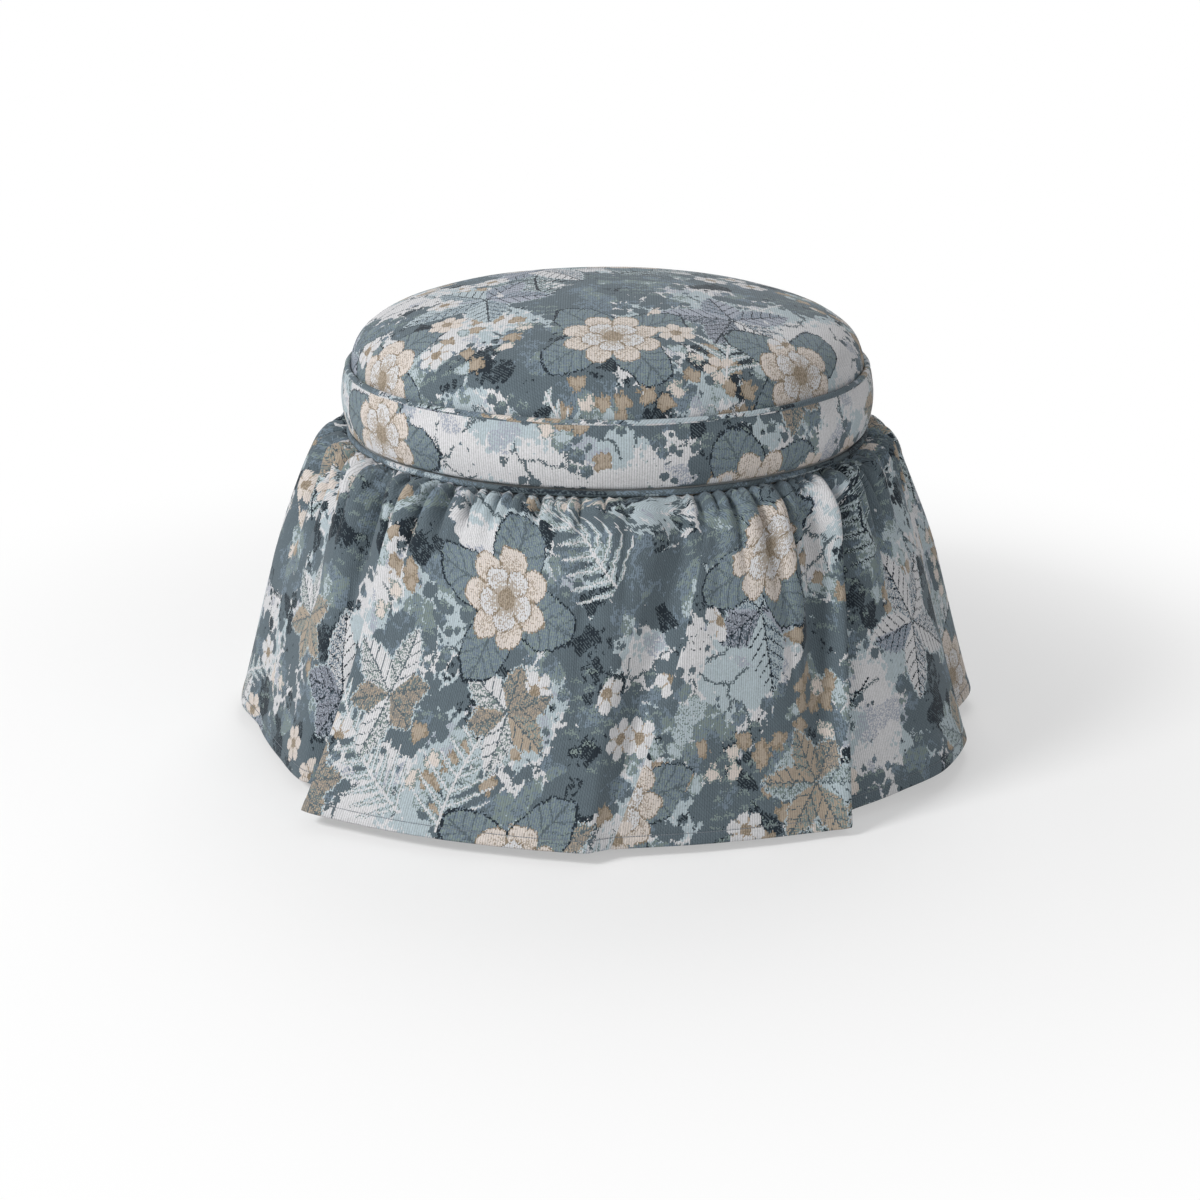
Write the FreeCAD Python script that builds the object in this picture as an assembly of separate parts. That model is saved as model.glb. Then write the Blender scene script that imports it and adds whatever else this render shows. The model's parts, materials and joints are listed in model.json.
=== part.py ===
"""Round skirted storage ottoman: a plywood drum with a gathered skirt, and an upholstered lid that lifts off.

Millimetres, +Z up. The origin is on the floor, in the middle of the drum. The front faces -Y.
"""

import FreeCAD
import Part

import math
import os

Vector = FreeCAD.Vector
AXIS_POINT = Vector(0, 0, 0)
AXIS = Vector(0, 0, 1)

# Clearances
fit_gap = 0.2            # between wooden pieces that are glued or pushed together
cloth_gap = 0.25         # between layers of cloth, wadding and card
screw_gap = 0.1          # round a screw in its hole
lid_gap = 0.3            # between the closed lid and the rim that it rests on
mouth_gap = 3.0          # round the locating ring, inside the mouth

# Feet
glide_height = 3.0
glide_radius = 12.0
foot_height = 22.0
foot_top_radius = 22.0
foot_bottom_radius = 18.0
foot_edge_round = 2.0
foot_circle_radius = 175.0
foot_count = 4
first_foot_angle = 45.0

# Drum
drum_radius = 230.5      # outside of the bent plywood wall
wall_thickness = 5.0
wall_height = 255.0
wall_joint_gap = 1.0     # where the two ends of the bent sheet meet, at the back
panel_thickness = 12.0
hoop_width = 22.0
hoop_height = 18.0
upright_width = 28.0
upright_depth = 20.0
upright_count = 4
first_upright_angle = 45.0
joint_strip_width = 50.0
joint_strip_thickness = 8.0
back_angle = 90.0

# Lining and outer cloth
liner_thickness = 2.0
liner_top_gap = 0.2
binding_thickness = 1.0
binding_leg = 19.0
drum_cover_thickness = 1.0
drum_cover_bottom_gap = 2.0
dust_cover_thickness = 0.8
dust_cover_margin = 2.0
dust_cover_foot_gap = 1.5

# Skirt and the strips that hold it
skirt_thickness = 2.5
skirt_top_drop = 6.6     # top edge of the skirt below the rim
hem_clearance = 10.0     # hem above the floor
hem_spread = 104.5       # mean hem beyond the outside of the drum
fold_depth = 20.0        # how far a full fold stands out from the mean
skirt_face_count = 8     # faces round the skirt
sewing_tolerance = 0.001
tape_thickness = 0.6
tape_width = 16.0
tack_strip_thickness = 1.0
tack_strip_width = 14.0
tack_strip_drop = 2.0    # top of the tack strip below the top of the tape

# Levels of the skirt, from its top to its hem: share of the drop, share of the spread, which station of
# SKIRT_FOLD_ANGLES it follows, and the share of those folds that has opened there
SKIRT_LEVEL_SHARES = (
    (0.000, 0.000, 0, 0.00),
    (0.011, 0.127, 0, 0.25),
    (0.045, 0.244, 0, 0.60),
    (0.106, 0.324, 0, 1.00),
    (0.282, 0.494, 0.5, 1.00),
    (0.463, 0.633, 1, 1.00),
    (0.732, 0.815, 1.5, 1.00),
    (1.000, 1.000, 2, 1.00),
)

# Crests, valleys and slopes that run down the skirt: degrees to the right of the front, then the stand from
# the mean as a share of the fold depth; each below the gathers, half way down and at the hem
SKIRT_FOLD_ANGLES = (
    (-100.5, -101.4, -102.5, -0.25, -0.35, -0.50),
    (-91.0, -91.1, -92.0, 0.20, 0.60, 0.80),
    (-83.2, -83.7, -84.0, 0.10, 0.60, 0.65),
    (-75.5, -75.9, -75.5, 0.00, 0.10, -0.15),
    (-64.5, -63.7, -63.0, -0.10, -0.30, -0.30),
    (-53.9, -53.0, -53.0, 0.10, -0.15, -0.05),
    (-45.7, -45.3, -47.5, -0.35, -0.65, -0.85),
    (-41.9, -42.2, -45.2, -0.20, -0.35, -0.10),
    (-38.7, -39.6, -43.2, 0.40, 0.95, 1.90),
    (-34.2, -35.1, -37.5, 0.25, 0.70, 1.40),
    (-28.2, -29.0, -31.0, 0.05, 0.40, 1.00),
    (-20.4, -21.5, -23.0, 0.00, 0.25, 0.65),
    (-11.7, -13.1, -14.5, 0.05, 0.20, 0.40),
    (-3.1, -5.5, -8.0, 0.10, 0.30, 0.40),
    (5.7, 1.2, -3.0, 0.15, 0.35, 0.55),
    (13.1, 6.5, -1.2, -0.40, -0.45, 0.20),
    (17.1, 10.7, 0.5, -0.10, 0.10, -0.10),
    (22.9, 16.9, 7.0, 0.05, 0.20, -0.30),
    (29.3, 24.5, 16.5, 0.10, 0.20, -0.20),
    (35.2, 31.2, 26.5, 0.15, 0.20, 0.20),
    (39.2, 35.5, 32.0, -0.55, -0.40, 0.55),
    (43.3, 39.3, 35.0, 0.45, 0.70, 0.90),
    (45.9, 41.3, 37.0, -0.40, -0.45, -0.45),
    (49.6, 45.4, 42.0, 0.25, 0.10, -0.20),
    (54.9, 51.7, 48.5, 0.20, 0.20, 0.10),
    (62.1, 60.1, 58.0, 0.20, 0.40, 0.75),
    (70.5, 69.7, 69.0, 0.10, 0.25, 0.65),
    (79.0, 79.0, 79.0, -0.25, -0.30, -0.45),
    (89.5, 90.3, 91.0, 0.00, 0.45, 0.80),
    (99.0, 99.0, 99.0, -0.25, -0.30, -0.40),
    (111.8, 111.3, 111.0, 0.25, 0.50, 1.00),
    (118.3, 117.0, 116.0, -0.30, -0.50, -0.60),
    (131.0, 131.0, 131.0, 0.15, 0.25, 0.30),
    (141.5, 142.3, 143.0, 0.30, 0.65, 1.20),
    (147.0, 146.9, 146.5, -0.25, -0.45, -0.60),
    (158.5, 159.3, 160.0, 0.10, 0.20, 0.10),
    (167.8, 167.3, 167.0, 0.30, 0.60, 1.00),
    (175.8, 175.3, 175.0, -0.30, -0.60, -0.70),
    (188.5, 189.3, 190.0, 0.15, 0.20, 0.30),
    (197.7, 199.0, 200.0, 0.35, 0.65, 1.25),
    (203.3, 203.5, 203.5, -0.30, -0.50, -0.65),
    (214.8, 214.3, 214.0, 0.10, 0.15, 0.05),
    (226.5, 227.3, 228.0, 0.30, 0.55, 1.00),
    (233.0, 232.9, 232.5, -0.25, -0.45, -0.60),
    (243.0, 243.0, 243.0, 0.10, 0.20, 0.30),
    (250.5, 249.7, 249.0, 0.20, 0.40, 0.60),
)

# Welts
welt_radius = 2.8
welt_cord_radius = 2.0
welt_seam_gap = 0.4      # between a welt and the edge that it is sewn to

# Lid
lid_lining_thickness = 0.8
lid_lining_margin = 10.0  # lid board beyond the lining
cover_thickness = 1.0
cover_flange_width = 30.0  # of the band that is turned under the board
board_thickness = 15.0
board_overhang = 0.5     # lid board beyond the drum wall
base_foam_height = 38.0
band_stand = 5.8         # edge of the band beyond the board
band_bulge = 4.0         # middle of the band beyond its edges
band_corner = 4.0        # rounding at the foot of the band
band_top_drop = 3.0      # top edge of the band below the seam
crown_overhang = 0.1     # widest part of the cushion beyond the board
crown_side_height = 1.5   # widest part of the cushion above the seam
crown_side_radius = 30.0  # rounding from the widest part in to the seam
shoulder_radius = 42.0
crown_rise = 32.5        # middle of the seat above the shoulder
crown_wadding = 6.0
ring_width = 25.0        # locating ring
ring_height = 15.0
ring_chamfer = 3.0

# Fasteners
screw_radius = 2.2
screw_head_radius = 4.4
screw_head_height = 2.6
screw_tip = 5.0
recess_length = 4.8
recess_width = 1.1
recess_depth = 1.4
foot_screw_length = 30.0
frame_screw_length = 48.0
hoop_screw_length = 45.0
ring_screw_length = 28.0
ring_screw_count = 6
staple_wire = 0.7
staple_crown = 10.0
staple_leg = 7.5
skirt_staple_count = 40
lid_staple_count = 36
dust_staple_count = 24
dust_staple_margin = 7.0

# Heights that follow
panel_bottom = glide_height + foot_height
panel_top = panel_bottom + panel_thickness
wall_top = panel_bottom + wall_height
bottom_hoop_top = panel_top + hoop_height
top_hoop_bottom = wall_top - hoop_height
rim_top = wall_top + binding_thickness
skirt_top = rim_top - skirt_top_drop
tape_top = skirt_top - welt_seam_gap
tack_strip_top = tape_top - tack_strip_drop
lower_welt_height = skirt_top + welt_seam_gap + welt_radius
lid_bottom = rim_top + lid_gap
flange_bottom = lid_bottom + lid_lining_thickness
board_bottom = flange_bottom + cover_thickness
board_top = board_bottom + board_thickness
seam_height = board_top + base_foam_height
band_top = seam_height - band_top_drop
ring_bottom = lid_bottom - ring_height

# Radii that follow
wall_inner_radius = drum_radius - wall_thickness
hoop_outer_radius = wall_inner_radius - fit_gap
hoop_inner_radius = wall_inner_radius - hoop_width
hoop_middle_radius = (hoop_outer_radius + hoop_inner_radius) / 2
liner_outer_radius = hoop_inner_radius - fit_gap
liner_inner_radius = liner_outer_radius - liner_thickness
binding_outer_radius = drum_radius + cloth_gap + binding_thickness
mouth_radius = liner_inner_radius - cloth_gap - binding_thickness
tape_inner_radius = binding_outer_radius + cloth_gap
tack_strip_inner_radius = tape_inner_radius + tape_thickness + cloth_gap
tack_strip_outer_radius = tack_strip_inner_radius + tack_strip_thickness
skirt_top_radius = tack_strip_outer_radius + fit_gap + skirt_thickness
lower_welt_ring_radius = binding_outer_radius + lid_gap + welt_radius
board_radius = drum_radius + board_overhang
band_edge_radius = board_radius + band_stand
crown_side = board_radius + crown_overhang
upper_welt_ring_radius = board_radius + welt_seam_gap + welt_radius
ring_outer_radius = mouth_radius - mouth_gap
ring_inner_radius = ring_outer_radius - ring_width
flange_inner_radius = board_radius - cover_flange_width
lid_lining_radius = board_radius - lid_lining_margin


def turned(edges):
    """A closed outline of edges in the XZ plane, turned about the axis into a solid."""
    outline = Part.Wire(Part.__sortEdges__(edges))
    solid = Part.Face(outline).revolve(AXIS_POINT, AXIS, 360)
    if solid.Volume < 0:
        solid.reverse()
    return solid


def lines(points):
    """Straight edges from each (radius, height) point to the next."""
    corners = [Vector(r, 0, z) for r, z in points]
    return [Part.makeLine(a, b) for a, b in zip(corners, corners[1:])]


def arc(start, middle, end):
    """An arc through three (radius, height) points."""
    through = [Vector(r, 0, z) for r, z in (start, middle, end)]
    return Part.Arc(*through).toShape()


def turned_outline(points):
    """A solid turned from a closed outline of straight runs."""
    return turned(lines(list(points) + [points[0]]))


def disc(radius, bottom, top):
    return Part.makeCylinder(radius, top - bottom, Vector(0, 0, bottom))


def ring(inner_radius, outer_radius, bottom, top):
    return disc(outer_radius, bottom, top).cut(disc(inner_radius, bottom, top))


def torus(ring_radius, height, radius):
    return Part.makeTorus(ring_radius, radius, Vector(0, 0, height), AXIS)


def at_angle(shape, angle):
    """A copy of a shape, turned about the axis."""
    copy = shape.copy()
    copy.rotate(AXIS_POINT, AXIS, angle)
    return copy


def spread_angles(count, first=0.0):
    return [first + 360.0 * i / count for i in range(count)]


def around(shape, count, first=0.0):
    """Separate copies of a shape, evenly spaced about the axis."""
    return Part.makeCompound([at_angle(shape, angle) for angle in spread_angles(count, first)])


def screw(radius, head_face, length, direction):
    """A countersunk screw at angle 0, with its head's face at that height, pointing up (1) or down (-1)."""
    outline = [
        (0, 0),
        (screw_head_radius, 0),
        (screw_radius, screw_head_height),
        (screw_radius, length - screw_tip),
        (0, length),
    ]
    body = turned_outline([(r, head_face + direction * z) for r, z in outline])
    depth = direction * recess_depth
    for long_side, short_side in ((recess_length, recess_width), (recess_width, recess_length)):
        corner = Vector(-long_side / 2, -short_side / 2, head_face + min(0.0, depth))
        body = body.cut(Part.makeBox(long_side, short_side, recess_depth, corner))
    body.translate(Vector(radius, 0, 0))
    return body


def screw_hole(radius, head_face, length, direction):
    """The space that a screw needs, open past its head's face."""
    wide = screw_head_radius + screw_gap
    narrow = screw_radius + screw_gap
    outline = [
        (0, -screw_head_height),
        (wide, -screw_head_height),
        (wide, 0),
        (narrow, screw_head_height),
        (narrow, length - screw_tip),
        (screw_gap, length + screw_gap),
        (0, length + screw_gap),
    ]
    hole = turned_outline([(r, head_face + direction * z) for r, z in outline])
    hole.translate(Vector(radius, 0, 0))
    return hole


def staple_radial(outer_radius, height):
    """A staple at angle 0, driven inward: its crown lies on a wall of that outer radius."""
    half = staple_crown / 2
    low = height - staple_wire / 2
    crown = Part.makeBox(staple_wire, staple_crown, staple_wire, Vector(outer_radius, -half, low))
    leg = Part.makeBox(staple_leg, staple_wire, staple_wire, Vector(outer_radius - staple_leg, -half, low))
    other = Part.makeBox(staple_leg, staple_wire, staple_wire,
                         Vector(outer_radius - staple_leg, half - staple_wire, low))
    return crown.fuse([leg, other]).removeSplitter()


def staple_upward(radius, bottom):
    """A staple at angle 0, driven up: its crown's lower face is flush with the cloth's, at that height."""
    half = staple_crown / 2
    left = radius - staple_wire / 2
    crown = Part.makeBox(staple_wire, staple_crown, staple_wire, Vector(left, -half, bottom))
    leg = Part.makeBox(staple_wire, staple_wire, staple_leg, Vector(left, -half, bottom + staple_wire))
    other = Part.makeBox(staple_wire, staple_wire, staple_leg,
                         Vector(left, half - staple_wire, bottom + staple_wire))
    return crown.fuse([leg, other]).removeSplitter()


# The four kinds of screw, each as the values that both the screw and its hole are made from
FOOT_SCREW = (foot_circle_radius, panel_top, foot_screw_length, -1)
FRAME_SCREW = (hoop_middle_radius, panel_bottom, frame_screw_length, 1)
HOOP_SCREW = (hoop_middle_radius, wall_top, hoop_screw_length, -1)
RING_SCREW = ((ring_inner_radius + ring_outer_radius) / 2, ring_bottom, ring_screw_length, 1)


def foot():
    """A turned foot at angle 0, with the pilot hole for its screw."""
    outline = [
        (0, glide_height),
        (foot_bottom_radius - foot_edge_round, glide_height),
        (foot_bottom_radius, glide_height + foot_edge_round),
        (foot_top_radius, panel_bottom),
        (0, panel_bottom),
    ]
    body = turned_outline(outline)
    body.translate(Vector(foot_circle_radius, 0, 0))
    return body.cut(screw_hole(*FOOT_SCREW))


def base_panel():
    panel = disc(hoop_outer_radius, panel_bottom, panel_top)
    panel = panel.cut(around(screw_hole(*FOOT_SCREW), foot_count, first_foot_angle))
    return panel.cut(around(screw_hole(*FRAME_SCREW), upright_count, first_upright_angle))


def bottom_hoop():
    hoop = ring(hoop_inner_radius, hoop_outer_radius, panel_top, bottom_hoop_top)
    return hoop.cut(around(screw_hole(*FRAME_SCREW), upright_count, first_upright_angle))


def top_hoop():
    hoop = ring(hoop_inner_radius, hoop_outer_radius, top_hoop_bottom, wall_top)
    return hoop.cut(around(screw_hole(*HOOP_SCREW), upright_count, first_upright_angle))


def drum_wall():
    """A sheet of plywood bent round until its ends all but meet, at the back."""
    wall = ring(wall_inner_radius, drum_radius, panel_bottom, wall_top)
    slit = Part.makeBox(drum_radius, wall_joint_gap, wall_height,
                        Vector(0, -wall_joint_gap / 2, panel_bottom))
    return wall.cut(at_angle(slit, back_angle))


def wall_joint_strip():
    """The curved strip inside the wall that its two ends are glued to."""
    inner = hoop_outer_radius - joint_strip_thickness
    strip = ring(inner, hoop_outer_radius, bottom_hoop_top, top_hoop_bottom)
    keep = Part.makeBox(drum_radius, joint_strip_width, wall_height,
                        Vector(0, -joint_strip_width / 2, panel_bottom))
    return strip.common(at_angle(keep, back_angle))


def upright():
    """A batten at angle 0 between the hoops, with the pilot holes of its two screws."""
    half = upright_width / 2
    outer_face = math.sqrt(hoop_outer_radius ** 2 - half ** 2)
    batten = Part.makeBox(upright_depth, upright_width, top_hoop_bottom - bottom_hoop_top,
                          Vector(outer_face - upright_depth, -half, bottom_hoop_top))
    return batten.cut([screw_hole(*FRAME_SCREW), screw_hole(*HOOP_SCREW)])


def liner_floor():
    return disc(liner_outer_radius, panel_top, panel_top + liner_thickness)


def liner_wall():
    return ring(liner_inner_radius, liner_outer_radius, panel_top + liner_thickness, wall_top - liner_top_gap)


def rim_binding():
    """Cloth folded over the rim of the drum, with a leg inside the mouth and a leg outside the wall."""
    foot_of_legs = rim_top - binding_leg
    return turned_outline([
        (mouth_radius, foot_of_legs),
        (mouth_radius, rim_top),
        (binding_outer_radius, rim_top),
        (binding_outer_radius, foot_of_legs),
        (drum_radius + cloth_gap, foot_of_legs),
        (drum_radius + cloth_gap, wall_top),
        (liner_inner_radius - cloth_gap, wall_top),
        (liner_inner_radius - cloth_gap, foot_of_legs),
    ])


def drum_cover():
    inner = drum_radius + cloth_gap
    top = rim_top - binding_leg - cloth_gap
    return ring(inner, inner + drum_cover_thickness, panel_bottom + drum_cover_bottom_gap, top)


def dust_cover():
    cover = disc(drum_radius - dust_cover_margin, panel_bottom - dust_cover_thickness, panel_bottom)
    hole = disc(foot_top_radius + dust_cover_foot_gap, panel_bottom - dust_cover_thickness, panel_bottom)
    hole.translate(Vector(foot_circle_radius, 0, 0))
    return cover.cut(around(hole, foot_count, first_foot_angle))


def gathering_tape():
    return ring(tape_inner_radius, tape_inner_radius + tape_thickness, tape_top - tape_width, tape_top)


def tack_strip():
    return ring(tack_strip_inner_radius, tack_strip_outer_radius,
                tack_strip_top - tack_strip_width, tack_strip_top)


def at_station(values, station):
    """The value at a station, or half way between two."""
    return (values[math.floor(station)] + values[math.ceil(station)]) / 2


def skirt_points(level):
    """One point on each fold of the skirt's outer face, at one level."""
    drop_share, spread_share, station, opened = level
    height = skirt_top - drop_share * (skirt_top - hem_clearance)
    hem_radius = drum_radius + hem_spread
    middle = skirt_top_radius + spread_share * (hem_radius - skirt_top_radius)
    points = []
    for fold in SKIRT_FOLD_ANGLES:
        turn = math.radians(at_station(fold[:3], station))
        radius = middle + opened * fold_depth * at_station(fold[3:], station)
        points.append(Vector(radius * math.sin(turn), -radius * math.cos(turn), height))
    return points


def skirt_wires(level):
    """The outer and inner outline of the skirt at one level, spaced along as the folds are at the hem."""
    hem = skirt_points(SKIRT_LEVEL_SHARES[-1])
    spacing = [0.0]
    for point, following in zip(hem, hem[1:] + hem[:1]):
        spacing.append(spacing[-1] + point.distanceToPoint(following))
    points = skirt_points(level)
    outer = Part.BSplineCurve()
    outer.interpolate(Points=points, Parameters=spacing, PeriodicFlag=True)
    inside = []
    for point, place in zip(points, spacing):
        along = outer.tangent(place)[0]
        inside.append(point - skirt_thickness * Vector(along.y, -along.x, 0))
    inner = Part.BSplineCurve()
    inner.interpolate(Points=inside, Parameters=spacing, PeriodicFlag=True)
    ends = [spacing[len(points) * edge // skirt_face_count] for edge in range(skirt_face_count + 1)]
    return [
        Part.Wire([curve.toShape(start, end) for start, end in zip(ends, ends[1:])])
        for curve in (outer, inner)
    ]


def skirt():
    """A bell of cloth whose gathers open into broad, uneven folds at the hem."""
    wires = [skirt_wires(level) for level in SKIRT_LEVEL_SHARES]
    faces = []
    for side in zip(*wires):
        faces += Part.makeLoft(list(side), False, True).Faces
    for rims in (wires[0], wires[-1]):
        faces.append(Part.makeFace(rims, "Part::FaceMakerBullseye"))
    skin = Part.makeCompound(faces)
    skin.sewShape()
    solid = Part.Solid(skin.Shells[0])
    solid.fix(sewing_tolerance, sewing_tolerance, sewing_tolerance)
    return solid


def welt_cover(ring_radius, height):
    """The bias-cut tube of a welt; the cord lies inside it."""
    bore = torus(ring_radius, height, welt_cord_radius + cloth_gap)
    return torus(ring_radius, height, welt_radius).cut(bore)


def lid_board():
    board = disc(board_radius, board_bottom, board_top)
    return board.cut(around(screw_hole(*RING_SCREW), ring_screw_count))


def lid_lining():
    lining = disc(lid_lining_radius, lid_bottom, flange_bottom)
    return lining.cut(around(screw_hole(*RING_SCREW), ring_screw_count))


def locating_ring():
    body = turned_outline([
        (ring_inner_radius, ring_bottom),
        (ring_outer_radius - ring_chamfer, ring_bottom),
        (ring_outer_radius, ring_bottom + ring_chamfer),
        (ring_outer_radius, lid_bottom),
        (ring_inner_radius, lid_bottom),
    ])
    return body.cut(around(screw_hole(*RING_SCREW), ring_screw_count))


def base_foam():
    return disc(board_radius, board_top, seam_height)


def band_side(inset):
    """The bulging side of the band, that far inside its outer face: its foot, middle and top."""
    foot_height_of_side = flange_bottom + band_corner
    middle = (foot_height_of_side + band_top) / 2
    edge = band_edge_radius - inset
    return (edge, foot_height_of_side), (edge + band_bulge, middle), (edge, band_top)


def band_corner_middle(inner_radius, inner_height, outer_radius, outer_height):
    """The middle point of a quarter-round corner that turns from a flat face into a side."""
    lean = math.sqrt(0.5)
    return (inner_radius + lean * (outer_radius - inner_radius),
            outer_height - lean * (outer_height - inner_height))


def band_cover():
    """The boxing band: a padded side, with its lower edge turned under the lid board."""
    foot_side, middle, top = band_side(0.0)
    inner_foot, inner_middle, inner_top = band_side(cover_thickness)
    turn = band_edge_radius - band_corner
    corner = band_corner_middle(turn, flange_bottom, *foot_side)
    inner_corner = band_corner_middle(turn, board_bottom, *inner_foot)
    return turned(
        lines([(turn, board_bottom), (flange_inner_radius, board_bottom),
               (flange_inner_radius, flange_bottom), (turn, flange_bottom)])
        + [arc((turn, flange_bottom), corner, foot_side), arc(foot_side, middle, top)]
        + lines([top, inner_top])
        + [arc(inner_top, inner_middle, inner_foot), arc(inner_foot, inner_corner, (turn, board_bottom))]
    )


def band_wadding():
    """The padding between the foam's edge and the band."""
    foot_side, middle, top = band_side(cover_thickness + cloth_gap)
    inner = board_radius + fit_gap
    return turned(
        [arc(foot_side, middle, top)]
        + lines([top, (inner, top[1]), (inner, foot_side[1]), foot_side])
    )


def crown_outline(inset, bottom):
    """The cushion's outline from its lower edge to the axis, that far inside its outer face, and its ends."""
    side_centre = crown_side - crown_side_radius
    widest = seam_height + crown_side_height
    shoulder_centre = crown_side - shoulder_radius
    crown_radius = shoulder_radius + (shoulder_centre ** 2 + crown_rise ** 2) / (2 * crown_rise)
    crown_centre = widest + shoulder_radius + crown_rise - crown_radius
    tangent = math.asin(shoulder_centre / (crown_radius - shoulder_radius))

    def on_side(height):
        reach = crown_side_radius - inset
        return (side_centre + math.sqrt(reach ** 2 - (widest - height) ** 2), height)

    def on_shoulder(angle):
        reach = shoulder_radius - inset
        return (shoulder_centre + reach * math.cos(angle), widest + reach * math.sin(angle))

    def on_crown(angle):
        reach = crown_radius - inset
        return (reach * math.sin(angle), crown_centre + reach * math.cos(angle))

    end = math.pi / 2 - tangent
    foot_point = on_side(bottom)
    top_point = on_crown(0)
    edges = [
        arc(foot_point, on_side((bottom + widest) / 2), on_shoulder(0)),
        arc(on_shoulder(0), on_shoulder(end / 2), on_shoulder(end)),
        arc(on_shoulder(end), on_crown(tangent / 2), top_point),
    ]
    return edges, foot_point, top_point


def crown_shell(outer_inset, inner_inset, bottom):
    """A dome-shaped layer of the cushion, open below."""
    outer, outer_foot, outer_top = crown_outline(outer_inset, bottom)
    inner, inner_foot, inner_top = crown_outline(inner_inset, bottom)
    return turned(outer + inner + lines([outer_foot, inner_foot]) + lines([outer_top, inner_top]))


def crown_foam():
    inset = cover_thickness + crown_wadding + 2 * cloth_gap
    bottom = seam_height + cloth_gap
    edges, foot_point, top_point = crown_outline(inset, bottom)
    return turned(edges + lines([foot_point, (0, bottom), top_point]))


def build():
    """Every node by name, each one or more closed solids."""
    wadding_inset = cover_thickness + cloth_gap
    cover_bottom = seam_height + welt_seam_gap
    nodes = {
        "foot_glides": around(
            disc(glide_radius, 0, glide_height).translated(Vector(foot_circle_radius, 0, 0)),
            foot_count, first_foot_angle),
        "foot_screws": around(screw(*FOOT_SCREW), foot_count, first_foot_angle),
        "base_panel": base_panel(),
        "bottom_hoop": bottom_hoop(),
        "top_hoop": top_hoop(),
        "drum_wall": drum_wall(),
        "wall_joint_strip": wall_joint_strip(),
        "frame_screws": around(screw(*FRAME_SCREW), upright_count, first_upright_angle),
        "hoop_screws": around(screw(*HOOP_SCREW), upright_count, first_upright_angle),
        "liner_floor": liner_floor(),
        "liner_wall": liner_wall(),
        "rim_binding": rim_binding(),
        "drum_cover": drum_cover(),
        "dust_cover": dust_cover(),
        "dust_cover_staples": around(
            staple_upward(hoop_outer_radius - dust_staple_margin, panel_bottom - dust_cover_thickness),
            dust_staple_count),
        "gathering_tape": gathering_tape(),
        "tack_strip": tack_strip(),
        "skirt_staples": around(
            staple_radial(tack_strip_outer_radius, tack_strip_top - tack_strip_width / 2),
            skirt_staple_count),
        "skirt": skirt(),
        "lower_welt_cover": welt_cover(lower_welt_ring_radius, lower_welt_height),
        "lower_welt_cord": torus(lower_welt_ring_radius, lower_welt_height, welt_cord_radius),
        "lid_board": lid_board(),
        "lid_lining": lid_lining(),
        "locating_ring": locating_ring(),
        "locating_screws": around(screw(*RING_SCREW), ring_screw_count),
        "base_foam": base_foam(),
        "band_wadding": band_wadding(),
        "band_cover": band_cover(),
        "lid_staples": around(
            staple_upward(flange_inner_radius + cover_flange_width / 2, flange_bottom), lid_staple_count),
        "upper_welt_cover": welt_cover(upper_welt_ring_radius, seam_height),
        "upper_welt_cord": torus(upper_welt_ring_radius, seam_height, welt_cord_radius),
        "crown_foam": crown_foam(),
        "crown_wadding": crown_shell(wadding_inset, wadding_inset + crown_wadding, cover_bottom),
        "top_cover": crown_shell(0.0, cover_thickness, cover_bottom),
    }
    for number, angle in enumerate(spread_angles(foot_count, first_foot_angle), start=1):
        nodes[f"foot_{number}"] = at_angle(foot(), angle)
    for number, angle in enumerate(spread_angles(upright_count, first_upright_angle), start=1):
        nodes[f"upright_{number}"] = at_angle(upright(), angle)
    return nodes


def main():
    os.makedirs("parts", exist_ok=True)
    for name, shape in build().items():
        if not shape.isValid() or shape.Volume <= 0:
            raise ValueError(f"{name} is not a valid solid")
        print(f"{name}: {len(shape.Solids)} solids, {shape.Volume / 1000:.1f} cm3")
        shape.exportStep(os.path.join("parts", name + ".step"))


main()
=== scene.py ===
"""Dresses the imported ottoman: tapestry cushion, band, welts and skirt, lined drum, studio and camera."""

import json
import math

import bpy
import numpy as np
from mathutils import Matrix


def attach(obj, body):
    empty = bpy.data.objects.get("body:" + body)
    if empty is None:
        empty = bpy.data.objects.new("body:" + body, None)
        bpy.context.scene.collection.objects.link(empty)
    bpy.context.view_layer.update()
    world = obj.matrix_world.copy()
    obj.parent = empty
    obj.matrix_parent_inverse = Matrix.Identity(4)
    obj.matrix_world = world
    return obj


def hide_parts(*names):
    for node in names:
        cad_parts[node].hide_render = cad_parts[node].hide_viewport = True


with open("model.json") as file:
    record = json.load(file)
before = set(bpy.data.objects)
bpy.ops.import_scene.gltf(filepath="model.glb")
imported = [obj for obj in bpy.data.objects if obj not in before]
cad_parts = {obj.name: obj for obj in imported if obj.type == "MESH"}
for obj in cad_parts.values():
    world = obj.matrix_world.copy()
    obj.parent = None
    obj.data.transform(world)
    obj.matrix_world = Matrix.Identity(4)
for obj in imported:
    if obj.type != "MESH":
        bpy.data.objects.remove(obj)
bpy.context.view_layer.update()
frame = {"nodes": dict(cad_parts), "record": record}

# Sizes in metres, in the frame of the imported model

WELT_RADIUS = 0.0028
UPPER_WELT = (0.2342, 0.3361)  # radius of the ring, height
LOWER_WELT = (0.23485, 0.2776)
BAND_FOOT, BAND_TOP = 0.2821, 0.3334
BAND_EDGE, BAND_BULGE = 0.2368, 0.0040
BAND_CLOTH = 0.0009  # thickness of the band's cloth
SKIRT_CLOTH = 0.0011
HEM_DEPTH = 0.0098  # turned-up hem
GATHER_TOP = 0.2777  # the gathers lie below this, under the band
STITCH_PITCH = 0.0034
STITCH_SIZE = (0.0025, 0.00055, 0.00060)  # along the hem, up, out
WELL_RADIUS, WELL_FLOOR, WELL_TOP = 0.2013, 0.0390, 0.2797
WELL_CORNER = 0.0043
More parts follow.
